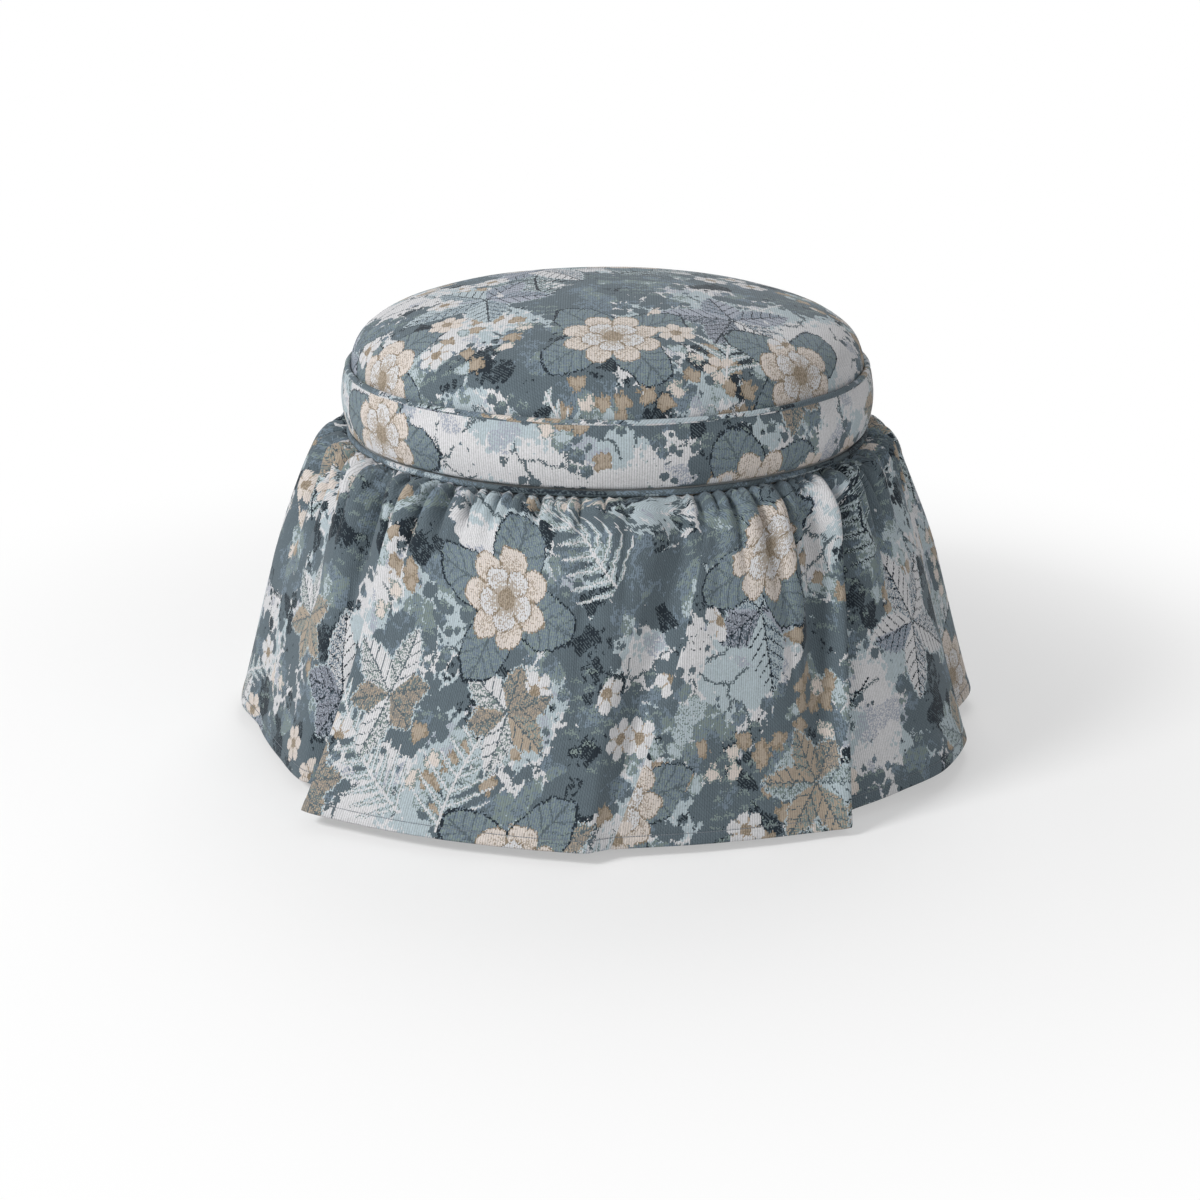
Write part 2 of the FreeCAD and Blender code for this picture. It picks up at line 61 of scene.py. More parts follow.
RIM_INSIDE, RIM_OUTSIDE = 0.20005, 0.23175
RIM_FOOT, RIM_TOP, RIM_CORNER = 0.2621, 0.2810, 0.0014
DRUM_RADIUS, DRUM_FOOT, DRUM_TOP = 0.2317, 0.0270, 0.26175
TAPE_RADIUS, TAPE_FOOT, TAPE_TOP = 0.2326, 0.2580, 0.2740
DUST_RADIUS, DUST_HEIGHT = 0.2280, 0.0242
LID_LINING_RADIUS, LID_LINING_HEIGHT = 0.2210, 0.28130

# Padding: steps of cloth simulation, its settings, and how far padding may push a point of the cloth
SWELL_STEPS = 10
SWELL_CLOTH = {
    "quality": 6, "mass": 0.4, "tension_stiffness": 18, "compression_stiffness": 18, "shear_stiffness": 8,
    "bending_stiffness": 0.4, "use_pressure": True, "uniform_pressure_force": 5.0,
}
CUSHION_SWELL, BAND_SWELL = 0.0026, 0.0020
SEAT_MIDDLE, SEAT_EDGE = 0.12, 0.19  # the cushion swells past the first radius, fully past the second

CAMERA_PLACE = (0, -1.742, 0.721)
CAMERA_DOWN, CAMERA_LEFT = 19.5, 0.22  # degrees
CAMERA_LENS = 58.47


# Building with cloth strips


def choose(piece=None):
    """Selects one piece alone, or none."""
    if bpy.context.mode != "OBJECT":
        bpy.ops.object.mode_set(mode="OBJECT")
    bpy.ops.object.select_all(action="DESELECT")
    if piece is not None:
        piece.select_set(True)
        bpy.context.view_layer.objects.active = piece


def edit(operator, **settings):
    """Runs a mesh operator on all of the chosen piece."""
    bpy.ops.object.mode_set(mode="EDIT")
    bpy.ops.mesh.select_all(action="SELECT")
    operator(**settings)
    bpy.ops.object.mode_set(mode="OBJECT")


def read(items, name, size=3, kind=float):
    """A value of each point, face or corner of a mesh, as an array."""
    values = np.empty(len(items) * size, kind)
    items.foreach_get(name, values)
    return values.reshape(-1, size) if size > 1 else values


def named(name):
    """The piece just added, with its name."""
    piece = bpy.context.object
    piece.name = piece.data.name = name
    return piece


def lay_strip(piece, places, cloth, shifts=None):
    """Moves a strip's points to places[row, column]; its UV is their flat place on the cloth, in metres."""
    mesh = piece.data
    flat = read(mesh.vertices, "co") + 0.5
    column = np.rint(flat[:, 0] * (places.shape[1] - 1)).astype(int)
    row = np.rint(flat[:, 1] * (places.shape[0] - 1)).astype(int)
    mesh.vertices.foreach_set("co", places[row, column].ravel())
    corner = read(mesh.loops, "vertex_index", 1, int)
    uv = cloth[row, column][corner]
    if shifts is not None:
        starts = read(mesh.polygons, "loop_start", 1, int)
        face_column = np.minimum.reduceat(column[corner], starts)
        per_face = np.diff(np.append(starts, len(corner)))
        uv = uv + np.repeat(shifts[face_column], per_face, axis=0)
    layer = mesh.uv_layers[0]
    layer.name = "cloth"
    layer.data.foreach_set("uv", uv.ravel())
    mesh.update()


def sewn_strip(name, places, cloth, outward, shifts=None):
    """A strip of cloth laid in place and joined end to end; outward(points) gives the way its faces look."""
    choose()
    bpy.ops.mesh.primitive_grid_add(
        x_subdivisions=places.shape[1] - 1, y_subdivisions=places.shape[0] - 1, size=1.0)
    piece = named(name)
    lay_strip(piece, places, cloth, shifts)
    edit(bpy.ops.mesh.remove_doubles, threshold=1e-5)
    edit(bpy.ops.mesh.normals_make_consistent, inside=False)
    faces = piece.data.polygons
    if (outward(read(faces, "center")) * read(faces, "normal")).sum() < 0:
        edit(bpy.ops.mesh.flip_normals)
    bpy.ops.object.shade_smooth()
    return piece


def thicken(piece, thickness):
    """Gives cloth its thickness, on its inner side."""
    choose(piece)
    solid = piece.modifiers.new("Solidify", "SOLIDIFY")
    solid.thickness = thickness
    solid.offset = -1
    solid.use_even_offset = False
    bpy.ops.object.modifier_apply(modifier=solid.name)


def swell(piece, held, most):
    """Lets the padding press the cloth out by cloth simulation, held along its seams.

    held(points) is true where the cloth is sewn down, and most(points) is how far a point may move.
    """
    start = read(piece.data.vertices, "co")
    seam = piece.vertex_groups.new(name="sewn_down")
    seam.add(np.flatnonzero(held(start)).tolist(), 1.0, "REPLACE")
    choose(piece)
    cloth = piece.modifiers.new("Cloth", "CLOTH")
    for key, value in SWELL_CLOTH.items():
        setattr(cloth.settings, key, value)
    cloth.settings.vertex_group_mass = seam.name
    cloth.settings.effector_weights.gravity = 0
    cloth.collision_settings.use_collision = False
    cloth.point_cache.frame_start = 1
    cloth.point_cache.frame_end = SWELL_STEPS
    for step in range(1, SWELL_STEPS + 1):
        bpy.context.scene.frame_set(step)
    bpy.ops.object.modifier_apply(modifier=cloth.name)
    bpy.context.scene.frame_set(1)
    moved = read(piece.data.vertices, "co") - start
    reach = np.linalg.norm(moved, axis=1)
    limit = most(start)
    share = limit * np.tanh(reach / np.maximum(limit, 1e-6)) / np.maximum(reach, 1e-9)
    piece.data.vertices.foreach_set("co", (start + moved * share[:, None]).ravel())
    piece.data.update()
    piece.vertex_groups.clear()


def dress(piece, finish, body, slot, *nodes):
    """Gives a piece its finish and the body it rides on, and hides the CAD nodes it stands for; slot is not
    used.
    """
    piece.data.materials.append(finish)
    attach(piece, body)
    if nodes:
        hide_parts(*nodes)


# Curves and directions


def radius_of(points):
    return np.hypot(points[:, 0], points[:, 1])


def from_axis(points):
    """Straight out from the ottoman's axis."""
    return points * (1, 1, 0)


def unit(vectors):
    return vectors / np.linalg.norm(vectors, axis=-1, keepdims=True)


def run_along(points):
    """How far along its line each point lies, for one line or for rows of them."""
    steps = np.linalg.norm(np.diff(points, axis=-2), axis=-1)
    return np.concatenate([np.zeros(steps.shape[:-1] + (1,)), np.cumsum(steps, axis=-1)], axis=-1)


def on_cloth(across, along):
    """Flat places on the cloth."""
    return np.stack(np.broadcast_arrays(across, along), axis=-1)


def ring_points(radius, angle, height):
    """Points round the axis; the angle is 0 in front and grows to the right."""
    return np.stack(np.broadcast_arrays(radius * np.sin(angle), -radius * np.cos(angle), height), axis=-1)


def turned(outline, angle, stand):
    """An outline of radius and height turned round the axis, standing off square to itself by stand."""
    slope = np.gradient(outline, axis=0)
    out = unit(np.stack([-slope[:, 1], slope[:, 0]], axis=1))
    return ring_points(outline[:, :1] + stand * out[:, :1], angle, outline[:, 1:] + stand * out[:, 1:])


def arc_points(centre, radius, start, end, count):
    turn = np.linspace(start, end, count)
    return np.stack([centre[0] + radius * np.cos(turn), centre[1] + radius * np.sin(turn)], axis=1)


def line_points(*corners, step=0.006):
    """Points along straight runs, close enough together for soft cloth."""
    points = [np.array(corners[0])]
    for start, end in zip(corners, corners[1:]):
        start, end = np.array(start), np.array(end)
        count = max(1, int(np.hypot(*(end - start)) / step))
        points += [start + (end - start) * (k + 1) / count for k in range(count)]
    return np.array(points)


def smooth_through(x, y, at):
    """A curve through points that never swings past them; x rises, and at lies within it."""
    step = np.diff(x)
    slope = np.diff(y) / step
    bend = np.zeros_like(y)
    same_way = slope[:-1] * slope[1:] > 0
    before, after = step[:-1], step[1:]
    blend = 3 * (before + after) / (
        (2 * after + before) / np.where(same_way, slope[:-1], 1)
        + (after + 2 * before) / np.where(same_way, slope[1:], 1)
    )
    bend[1:-1] = np.where(same_way, blend, 0)
    bend[0], bend[-1] = slope[0], slope[-1]
    cell = np.clip(np.searchsorted(x, at) - 1, 0, len(x) - 2)
    width = step[cell]
    t = (at - x[cell]) / width
    return (
        y[cell] * (1 + 2 * t) * (1 - t) ** 2
        + y[cell + 1] * t * t * (3 - 2 * t)
        + width * (bend[cell] * t * (1 - t) ** 2 - bend[cell + 1] * t * t * (1 - t))
    )


def smoothstep(low, high, value):
    t = np.clip((value - low) / (high - low), 0, 1)
    return t * t * (3 - 2 * t)


def wander(angle, seed, waves=(1, 2, 3, 5, 7), fade=0.7):
    """A smooth uneven curve round the ottoman, about -1 to 1, the same on each run."""
    source = np.random.default_rng(seed)
    total = np.zeros_like(angle)
    size = 0.0
    for order, count in enumerate(waves):
        weight = fade ** order
        total = total + weight * np.sin(count * angle + source.uniform(0, 2 * math.pi))
        size += weight
    return total / size * 1.6


# Skirt

# Lines that run down the skirt, where its folds rise and fall. Each has its angle in degrees to the right
# of the front, then how far it stands out from the skirt's mean slope in millimetres; both below the
# gathers, half way down and at the hem. The last number is how far the hem sinks there.
STATIONS = np.array([0.16, 0.5, 1.0])
FOLD_LINES = np.array((
    (-100.5, -101.4, -102.5, -5, -7, -10, 0),
    (-91.0, -91.1, -92.0, 4, 12, 16, 0),
    (-83.2, -83.7, -84.0, 2, 12, 13, 0),
    (-75.5, -75.9, -75.5, 0, 2, -3, 0),
    (-64.5, -63.7, -63.0, -2, -6, -6, 0),
    (-53.9, -53.0, -53.0, 2, -3, -1, 0),
    (-45.7, -45.3, -47.5, -7, -13, -17, 0),
    (-41.9, -42.2, -45.2, -4, -7, -2, 2),
    (-38.7, -39.6, -43.2, 8, 19, 38, 5.5),
    (-34.2, -35.1, -37.5, 5, 14, 28, 4.5),
    (-28.2, -29.0, -31.0, 1, 8, 20, 3),
    (-20.4, -21.5, -23.0, 0, 5, 13, 1.5),
    (-11.7, -13.1, -14.5, 1, 4, 8, 1),
    (-3.1, -5.5, -8.0, 2, 6, 8, 1),
    (5.7, 1.2, -3.0, 3, 7, 11, 1),
    (13.1, 6.5, -1.2, -8, -9, 4, 0.5),
    (17.1, 10.7, 0.5, -2, 2, -2, 0),
    (22.9, 16.9, 7.0, 1, 4, -6, 0),
    (29.3, 24.5, 16.5, 2, 4, -4, 1),
    (35.2, 31.2, 26.5, 3, 4, 4, 3.5),
    (39.2, 35.5, 32.0, -11, -8, 11, 6),
    (43.3, 39.3, 35.0, 9, 14, 18, 7),
    (45.9, 41.3, 37.0, -8, -9, -9, 2),
    (49.6, 45.4, 42.0, 5, 2, -4, 0),
    (54.9, 51.7, 48.5, 4, 4, 2, 0),
    (62.1, 60.1, 58.0, 4, 8, 15, 0),
    (70.5, 69.7, 69.0, 2, 5, 13, 0),
    (79.0, 79.0, 79.0, -5, -6, -9, 0),
    (89.5, 90.3, 91.0, 0, 9, 16, 0),
    (99.0, 99.0, 99.0, -5, -6, -8, 0),
    (111.8, 111.3, 111.0, 5, 10, 20, 0),
    (118.3, 117.0, 116.0, -6, -10, -12, 0),
    (131.0, 131.0, 131.0, 3, 5, 6, 0),
    (141.5, 142.3, 143.0, 6, 13, 24, 0),
    (147.0, 146.9, 146.5, -5, -9, -12, 0),
    (158.5, 159.3, 160.0, 2, 4, 2, 0),
    (167.8, 167.3, 167.0, 6, 12, 20, 0),
    (175.8, 175.3, 175.0, -6, -12, -14, 0),
    (188.5, 189.3, 190.0, 3, 4, 6, 0),
    (197.7, 199.0, 200.0, 7, 13, 25, 0),
    (203.3, 203.5, 203.5, -6, -10, -13, 0),
    (214.8, 214.3, 214.0, 2, 3, 1, 0),
    (226.5, 227.3, 228.0, 6, 11, 20, 0),
    (233.0, 232.9, 232.5, -5, -9, -12, 0),
    (243.0, 243.0, 243.0, 2, 4, 6, 0),
    (250.5, 249.7, 249.0, 4, 8, 12, 0),
))
FRONT_SEAM, BACK_SEAM = 16, 38  # fold lines where two widths of cloth are sewn together
FRONT_SHIFT, BACK_SHIFT = (0.41, 0.17), (0.29, -0.36)  # how far the print jumps at those seams
GRAIN_LINES = (0, 5, 27, 32, 38, 44)  # fold lines that the ribs follow; the cloth lies evenly between
SKIRT_STEP = 0.0034  # width of a column of the skirt's mesh at the hem

# The skirt's mean slope: radius and height, from under the welt to the hem
SKIRT_SLOPE = np.array((
    (0.2354, 0.2744),
    (0.2402, 0.2764),
    (0.2510, 0.2722),
    (0.2610, 0.2622),
    (0.2670, 0.2490),
    (0.2780, 0.2220),
    (0.2930, 0.1740),
    (0.3075, 0.1180),
    (0.3215, 0.0620),
    (0.3350, 0.0100),
))

# Rows of the skirt's mesh near the hem, by their height above its edge
HEM_ROWS = np.array([0.0200, 0.0155, 0.0122, 0.0106, HEM_DEPTH, 0.0090, 0.0074, 0.0040, 0.0012, 0.0])

# Sets of gathers under the welt: seed, number round the skirt, height, then the shares of the drop where
# they have risen and where they have faded out, and how much they drift aside on the way down
GATHERS = (
    (11, 142, 0.0112, 0.010, 0.19, 0.0),
    (12, 66, 0.0125, 0.040, 0.44, 0.5),
    (13, 27, 0.0120, 0.160, 0.96, 0.9),
)

# Single tucks under the welt: angle, depth in units, half width in degrees, reach as a share of the drop
TUCK_UNIT = 0.0016
TUCKS = (
    (-66.0, 3.0, 1.0, 0.22), (-60.0, 3.0, 1.0, 0.20), (-55.5, 3.5, 1.0, 0.26), (-50.7, 4.5, 0.8, 0.14),
    (-48.3, 4.5, 0.8, 0.14), (-42.0, 3.0, 0.9, 0.22), (-30.0, 2.0, 0.8, 0.12), (-22.0, 1.8, 0.8, 0.14),
    (-13.0, 2.2, 0.8, 0.11), (-4.0, 1.8, 0.8, 0.14), (3.5, 2.4, 0.7, 0.14), (9.0, 1.8, 0.8, 0.12),
    (17.0, 3.0, 1.2, 0.22), (24.0, 2.4, 0.8, 0.16), (29.0, 2.4, 0.8, 0.14), (34.5, 3.0, 0.9, 0.26),
    (46.5, 5.0, 0.8, 0.30), (51.5, 3.5, 0.8, 0.20), (56.0, 3.5, 0.9, 0.24), (63.0, 3.5, 1.0, 0.26),
    (69.0, 3.0, 1.0, 0.20), (84.0, 3.5, 1.0, 0.25), (105.0, 4.0, 1.0, 0.28), (124.0, 3.5, 1.0, 0.25),
    (151.0, 4.0, 1.0, 0.30), (180.0, 3.5, 1.0, 0.25), (206.0, 4.0, 1.0, 0.28), (238.0, 3.5, 1.0, 0.25),
)


def gathers(angle, down):
    """How far the gathers stand out at an angle, in metres; down is the share of the way to the hem."""
    side = np.abs(np.sin(angle))
    busy = 0.95 + 0.65 * smoothstep(0.40, 0.72, side) + 0.25 * wander(angle, 3)
    calm = busy - 0.45 * smoothstep(0.75, 0.35, side) * smoothstep(-0.2, 0.3, np.cos(angle))
    total = np.zeros_like(angle)
    for seed, count, height, rise, fall, drift in GATHERS:
        phase = count * angle / 2 + 3.2 * wander(angle, seed, (1, 2, 3, 5, 8, 13), 0.85) + drift * down
        tube = np.sqrt(np.abs(np.sin(phase)) + 0.02) - 0.78
        depth = height * np.clip(0.75 + 0.5 * wander(angle, seed + 50, (2, 3, 7, 11, 17), 0.9), 0.1, 2)
        reach = fall * np.clip(0.8 + 0.35 * wander(angle, seed + 70, (3, 5, 9, 14), 0.9), 0.3, 1.4)
        share = smoothstep(0, rise, down) * (1 - smoothstep(0.25 * reach, reach, down))
        total = total + tube * depth * (busy if fall < 0.5 else calm) * share
    turn = np.degrees(angle)
    for place, depth, half_width, reach in TUCKS:
        apart = (turn - place + 180) % 360 - 180
        fade = smoothstep(0, 0.02, down) * (1 - smoothstep(0.5 * reach, 1.4 * reach, down))
        total = total - TUCK_UNIT * depth * fade * np.exp(-(apart / half_width) ** 2)
    return total


class SkirtShape:
    """The skirt's surface, row by row from the welt to the hem."""

    def __init__(self):
        run = run_along(SKIRT_SLOPE)
        self.drop = run[-1]
        hem = 1 - HEM_ROWS / self.drop
        self.downs = np.concatenate([
            np.linspace(0, 0.04, 9)[:-1],
            np.linspace(0.04, 0.25, 20)[:-1],
            np.linspace(0.25, hem[0], 31)[:-1],
            hem,
        ])
        near = np.clip(self.downs + np.array([[-0.004], [0.0], [0.004]]), 0, 1) * self.drop
        radius, height = (smooth_through(run, SKIRT_SLOPE[:, k], near) for k in (0, 1))
        self.radius, self.height = radius[1], height[1]
        self.out = unit(np.stack([height[0] - height[2], radius[2] - radius[0]], axis=1))
        lower = np.clip(self.downs, STATIONS[0], 1)
        levels = np.append(0, STATIONS)
        self.angles = np.radians([smooth_through(STATIONS, line[:3], lower) for line in FOLD_LINES]).T
        self.stands = 0.001 * np.array([
            smooth_through(levels, np.append(0, line[3:6]), self.downs) for line in FOLD_LINES]).T
        self.sinks = 0.001 * FOLD_LINES[:, 6] * smoothstep(0.45, 1.0, self.downs)[:, None]

    def points(self, row, angle):
        lines = self.angles[row]
        round_turn = np.concatenate([lines[-2:] - 2 * math.pi, lines, lines[:2] + 2 * math.pi])
        stand, sink = (np.concatenate([v[row, -2:], v[row], v[row, :2]]) for v in (self.stands, self.sinks))
        offset = smooth_through(round_turn, stand, angle) + gathers(angle, self.downs[row])
        r = self.radius[row] + offset * self.out[row, 0]
        z = self.height[row] + offset * self.out[row, 1] - smooth_through(round_turn, sink, angle)
        soft = 0.0012
        return ring_points(r, angle, z - soft * np.log1p(np.exp((z - GATHER_TOP) / soft)))

    def between_lines(self, row, samples):
        """Angles from each fold line to the next, and how far along the skirt they lie."""
        ends = np.append(self.angles[row], self.angles[row, 0] + 2 * math.pi)
        angle = ends[:-1, None] + np.diff(ends)[:, None] * np.linspace(0, 1, samples)
        return angle, run_along(self.points(row, angle.ravel()).reshape(angle.shape + (3,)))


def skirt_grid():
    """The skirt's points, their flat place on the cloth, the column at each fold line, and the drop."""
    shape = SkirtShape()
    _, hem_runs = shape.between_lines(-1, 100)
    counts = np.maximum(4, np.rint(hem_runs[:, -1] / SKIRT_STEP)).astype(int)
    grid = []
    for row in range(len(shape.downs)):
        even = np.concatenate([
            np.interp(np.linspace(0, run[-1], count + 1)[:-1], run, angle)
            for angle, run, count in zip(*shape.between_lines(row, 80), counts)])
        points = shape.points(row, even)
        grid.append(np.concatenate([points, points[:1]]))
    grid = np.array(grid)
    line_columns = np.append(0, np.cumsum(counts))
    straight = np.append(line_columns[list(GRAIN_LINES)], line_columns[-1])
    runs = run_along(grid)
    across = np.array([np.interp(run, run[straight], runs[-1, straight]) for run in runs])
    return grid, on_cloth(across, -shape.drop * shape.downs[:, None]), line_columns, shape.drop


def dress_hem_and_seams(grid, cloth, line_columns, drop):
    """Thickens the turned hem, draws its stitch line in, and sinks the two seams."""
    to_hem = drop + cloth[:, :, 1]
    proud = 0.00045 * smoothstep(HEM_DEPTH + 0.0004, HEM_DEPTH - 0.0006, to_hem)
    for drawn_in in (HEM_DEPTH, 0.0):
        proud -= 0.0004 * np.exp(-((to_hem - drawn_in) / 0.0007) ** 2)
    for line in (FRONT_SEAM, BACK_SEAM):
        column = line_columns[line]
        proud[:, column] -= 0.0009
        proud[:, column + 1] += 0.0005
        proud[:, column - 1] += 0.0001
    across = np.roll(grid[:, :-1], -1, axis=1) - np.roll(grid[:, :-1], 1, axis=1)
    across = np.concatenate([across, across[:, :1]], axis=1)
    normal = unit(np.cross(np.gradient(grid, axis=0), across))
    return grid + normal * proud[:, :, None], normal


def make_skirt(finish):
    grid, cloth, line_columns, drop = skirt_grid()
    grid, normal = dress_hem_and_seams(grid, cloth, line_columns, drop)
    shifts = np.zeros((grid.shape[1] - 1, 2))
    shifts[line_columns[FRONT_SEAM]:] += FRONT_SHIFT
    shifts[line_columns[BACK_SEAM]:] += BACK_SHIFT
    piece = sewn_strip("gathered_skirt", grid, cloth, from_axis, shifts)
    thicken(piece, SKIRT_CLOTH)
    dress(piece, finish, "base", "tapestry", "skirt")
    width = cloth[0, -1, 0]
    return piece, grid, normal, cloth, (width, drop)


def make_hem_stitches(grid, normal, cloth, drop, finish):
    """One small stitch, repeated along the hem's stitch line."""
    row = int(np.argmin(np.abs(drop + cloth[:, 0, 1] - HEM_DEPTH)))
    line = grid[row]
    run = run_along(line)

    def on_line(values, at):
        return np.stack([np.interp(at, run, values[:, k]) for k in range(3)], axis=1)

    choose()
    bpy.ops.mesh.primitive_cube_add(size=1.0)
    piece = named("hem_stitching")
    edit(bpy.ops.mesh.bevel, offset=0.22, segments=1, affect="EDGES")
    one = read(piece.data.vertices, "co")
    for _ in range(math.ceil(math.log2(int(run[-1] / STITCH_PITCH)))):
        edit(bpy.ops.mesh.duplicate)
    mesh = piece.data
    total = len(mesh.vertices) // len(one)
    at = (np.arange(total) + 0.5) * run[-1] / total
    middle = on_line(line, at)
    ahead = unit(on_line(line, at + 0.001) - middle)
    proud = unit(on_line(normal[row], at))
    up = np.cross(proud, ahead)
    length, width, height = STITCH_SIZE
    length = min(length, 0.8 * run[-1] / total)
    points = (
        (middle + proud * 0.00020)[:, None]
        + one[None, :, :1] * ahead[:, None] * length
        + one[None, :, 1:2] * up[:, None] * width
        + one[None, :, 2:] * proud[:, None] * height
    )
    mesh.vertices.foreach_set("co", points.ravel())
    mesh.update()
    edit(bpy.ops.mesh.normals_make_consistent, inside=False)
    bpy.ops.object.shade_smooth()
    dress(piece, finish, "base", "cotton")
    return piece


# Cushion, band and welts


def cushion_outline():
    """The cushion's outline, from the middle of the seat out over the shoulder, in to the seam and under."""
    side, seam = 0.2311, UPPER_WELT[1]
    widest = seam + 0.0015
    shoulder, rise, foot = 0.042, 0.0325, 0.030
    middle = side - shoulder
    crown = shoulder + (middle ** 2 + rise ** 2) / (2 * rise)
    top = widest + shoulder + rise
    tangent = math.asin(middle / (crown - shoulder))
    seat = arc_points((0.0, top - crown), crown, math.pi / 2, math.pi / 2 - tangent, 44)
    edge = arc_points((middle, widest), shoulder, math.pi / 2 - tangent, 0.0, 22)
    tuck = arc_points((side - foot, widest), foot, 0.0, -math.asin(0.0011 / foot), 3)
    under = [(radius, seam + 0.0003) for radius in (0.2270, 0.1500, 0.0)]
    return np.concatenate([seat, edge[1:], tuck[1:], under])


def make_cushion(finish):
    """A padded cushion: full in the middle, a little uneven, puckered where it is sewn to the welt."""
    outline = cushion_outline()
    run = run_along(outline)[:, None]
    to_seam = run[-4] - run
    angle = np.linspace(0, 2 * math.pi, 321)
    soft = 0.0011 * smoothstep(0.0, 0.05, run) * smoothstep(0.002, 0.06, to_seam)
    pucker = 0.0007 * np.exp(-((to_seam - 0.007) / 0.008) ** 2)
    stand = soft * wander(angle, 21, (1, 2, 3, 4), 0.8)
    stand = stand + pucker * wander(angle, 22, (23, 31, 38, 44, 57), 0.95)
    stand = np.where(to_seam >= -1e-6, stand, 0)
    cloth = ring_points(run, angle, 0.0)[:, :, :2] + (0.63, 0.27)
    piece = sewn_strip(
        "seat_cushion", turned(outline, angle, -stand), cloth, lambda points: points - (0, 0, 0.37))
    swell(
        piece,
        lambda points: (points[:, 2] < UPPER_WELT[1] + 0.0006) | (radius_of(points) < SEAT_MIDDLE),
        lambda points: CUSHION_SWELL * smoothstep(SEAT_MIDDLE, SEAT_EDGE, radius_of(points)))
    dress(piece, finish, "lid", "tapestry", "top_cover", "crown_wadding")


def make_band(finish):
    """The padded boxing band: it bulges between the welts, and its lower edge turns under the lid board."""
    corner, lip = 0.0048, 0.003
    side_foot = BAND_FOOT + 0.004
    chord = BAND_TOP - side_foot
    radius = (chord ** 2 / 4 + BAND_BULGE ** 2) / (2 * BAND_BULGE)
    half = math.asin(chord / 2 / radius)
    centre = (BAND_EDGE + BAND_BULGE - radius, (side_foot + BAND_TOP) / 2)
    outline = np.concatenate([
        [(0.2012, BAND_FOOT), (0.2150, BAND_FOOT), (0.2225, BAND_FOOT), (0.2280, BAND_FOOT - 0.0007)],
        arc_points((BAND_EDGE - corner, side_foot), corner, -math.pi / 2, 0, 7),
        arc_points(centre, radius, -half, half, 26)[1:],
        arc_points((BAND_EDGE - lip, BAND_TOP), lip, 0.3, math.pi / 2, 5),
    ])
    height = outline[:, 1:]
    side = smoothstep(BAND_FOOT + 0.001, BAND_FOOT + 0.010, height)
    side = side * smoothstep(BAND_TOP + 0.003, BAND_TOP - 0.004, height)
    to_seam = np.minimum(np.abs(height - BAND_TOP), np.abs(height - BAND_FOOT))
    angle = np.linspace(-math.pi, math.pi, 481)
    soft = 0.0007 * wander(angle, 31, (2, 3, 5, 8), 0.8)
    pucker = 0.00045 * np.exp(-(to_seam / 0.009) ** 2) * wander(angle, 32, (29, 37, 45, 58), 0.95)
    places = ring_points(outline[:, :1] + side * (soft + pucker), angle, height)
    cloth = on_cloth(BAND_EDGE * (angle + math.pi), run_along(outline)[:, None]) + (0.78, 0.54)
    piece = sewn_strip("boxing_band", places, cloth, from_axis)
    swell(
        piece,
        lambda points: (points[:, 2] < side_foot) | (points[:, 2] > BAND_TOP - 0.0004),
        lambda points: BAND_SWELL)
    thicken(piece, BAND_CLOTH)
    dress(piece, finish, "lid", "tapestry", "band_cover", "band_wadding")


def make_welt(name, node, body, ring, seed, finish):
    """A bias-cut strip wrapped round a cord and joined end to end."""
    radius, height = ring
    angle = np.linspace(0, 2 * math.pi, 721)
    turn = np.linspace(0, 2 * math.pi, 15)[:, None]
    plump = WELT_RADIUS * (1 + 0.035 * wander(angle, seed, (9, 17, 29, 41, 67), 0.95))
    sway = 0.00025 * wander(angle, seed + 1, (5, 9, 14, 23), 0.9)
    places = ring_points(radius + plump * np.cos(turn), angle, height + sway + plump * np.sin(turn))
    along, around = radius * angle, WELT_RADIUS * (turn - math.pi)
    cloth = math.sqrt(0.5) * on_cloth(along - around, along + around) + (0.05 * seed, 0.31)

    def from_ring(points):
        core = points * (radius / radius_of(points))[:, None]
        core[:, 2] = height
        return points - core

    piece = sewn_strip(name, places, cloth, from_ring)
    dress(piece, finish, body, "tapestry", node)


# Lining and inner cloths


def facing_up(points):
    return np.array([0.0, 0.0, 1.0]) + 0 * points


def facing_down(points):
    return -facing_up(points)


def into_well(points):
    return -from_axis(points) + 0.4 * facing_up(points) * (points[:, 2:] < 0.05)


def turned_cloth(finishes, name, outline, thickness, ripple, outward, body, nodes, slot, flat):
    """A cloth pulled round or over the drum or board; ripple is the height, seed and waves of its slack."""
    height, seed, waves = ripple
    run = run_along(outline)[:, None]
    angle = np.linspace(0, 2 * math.pi, 301)
    slack = wander(angle + 0.9 * np.sin(run * 31 + seed), seed, waves, 0.85)
    stand = -height * (0.5 + 0.5 * np.clip(slack, -1, 1))
    cloth = on_cloth(0.22 * angle, run)
    piece = sewn_strip(name, turned(outline, angle, stand), cloth, outward)
    thicken(piece, thickness)
    dress(piece, finishes[slot], body, slot, *nodes)


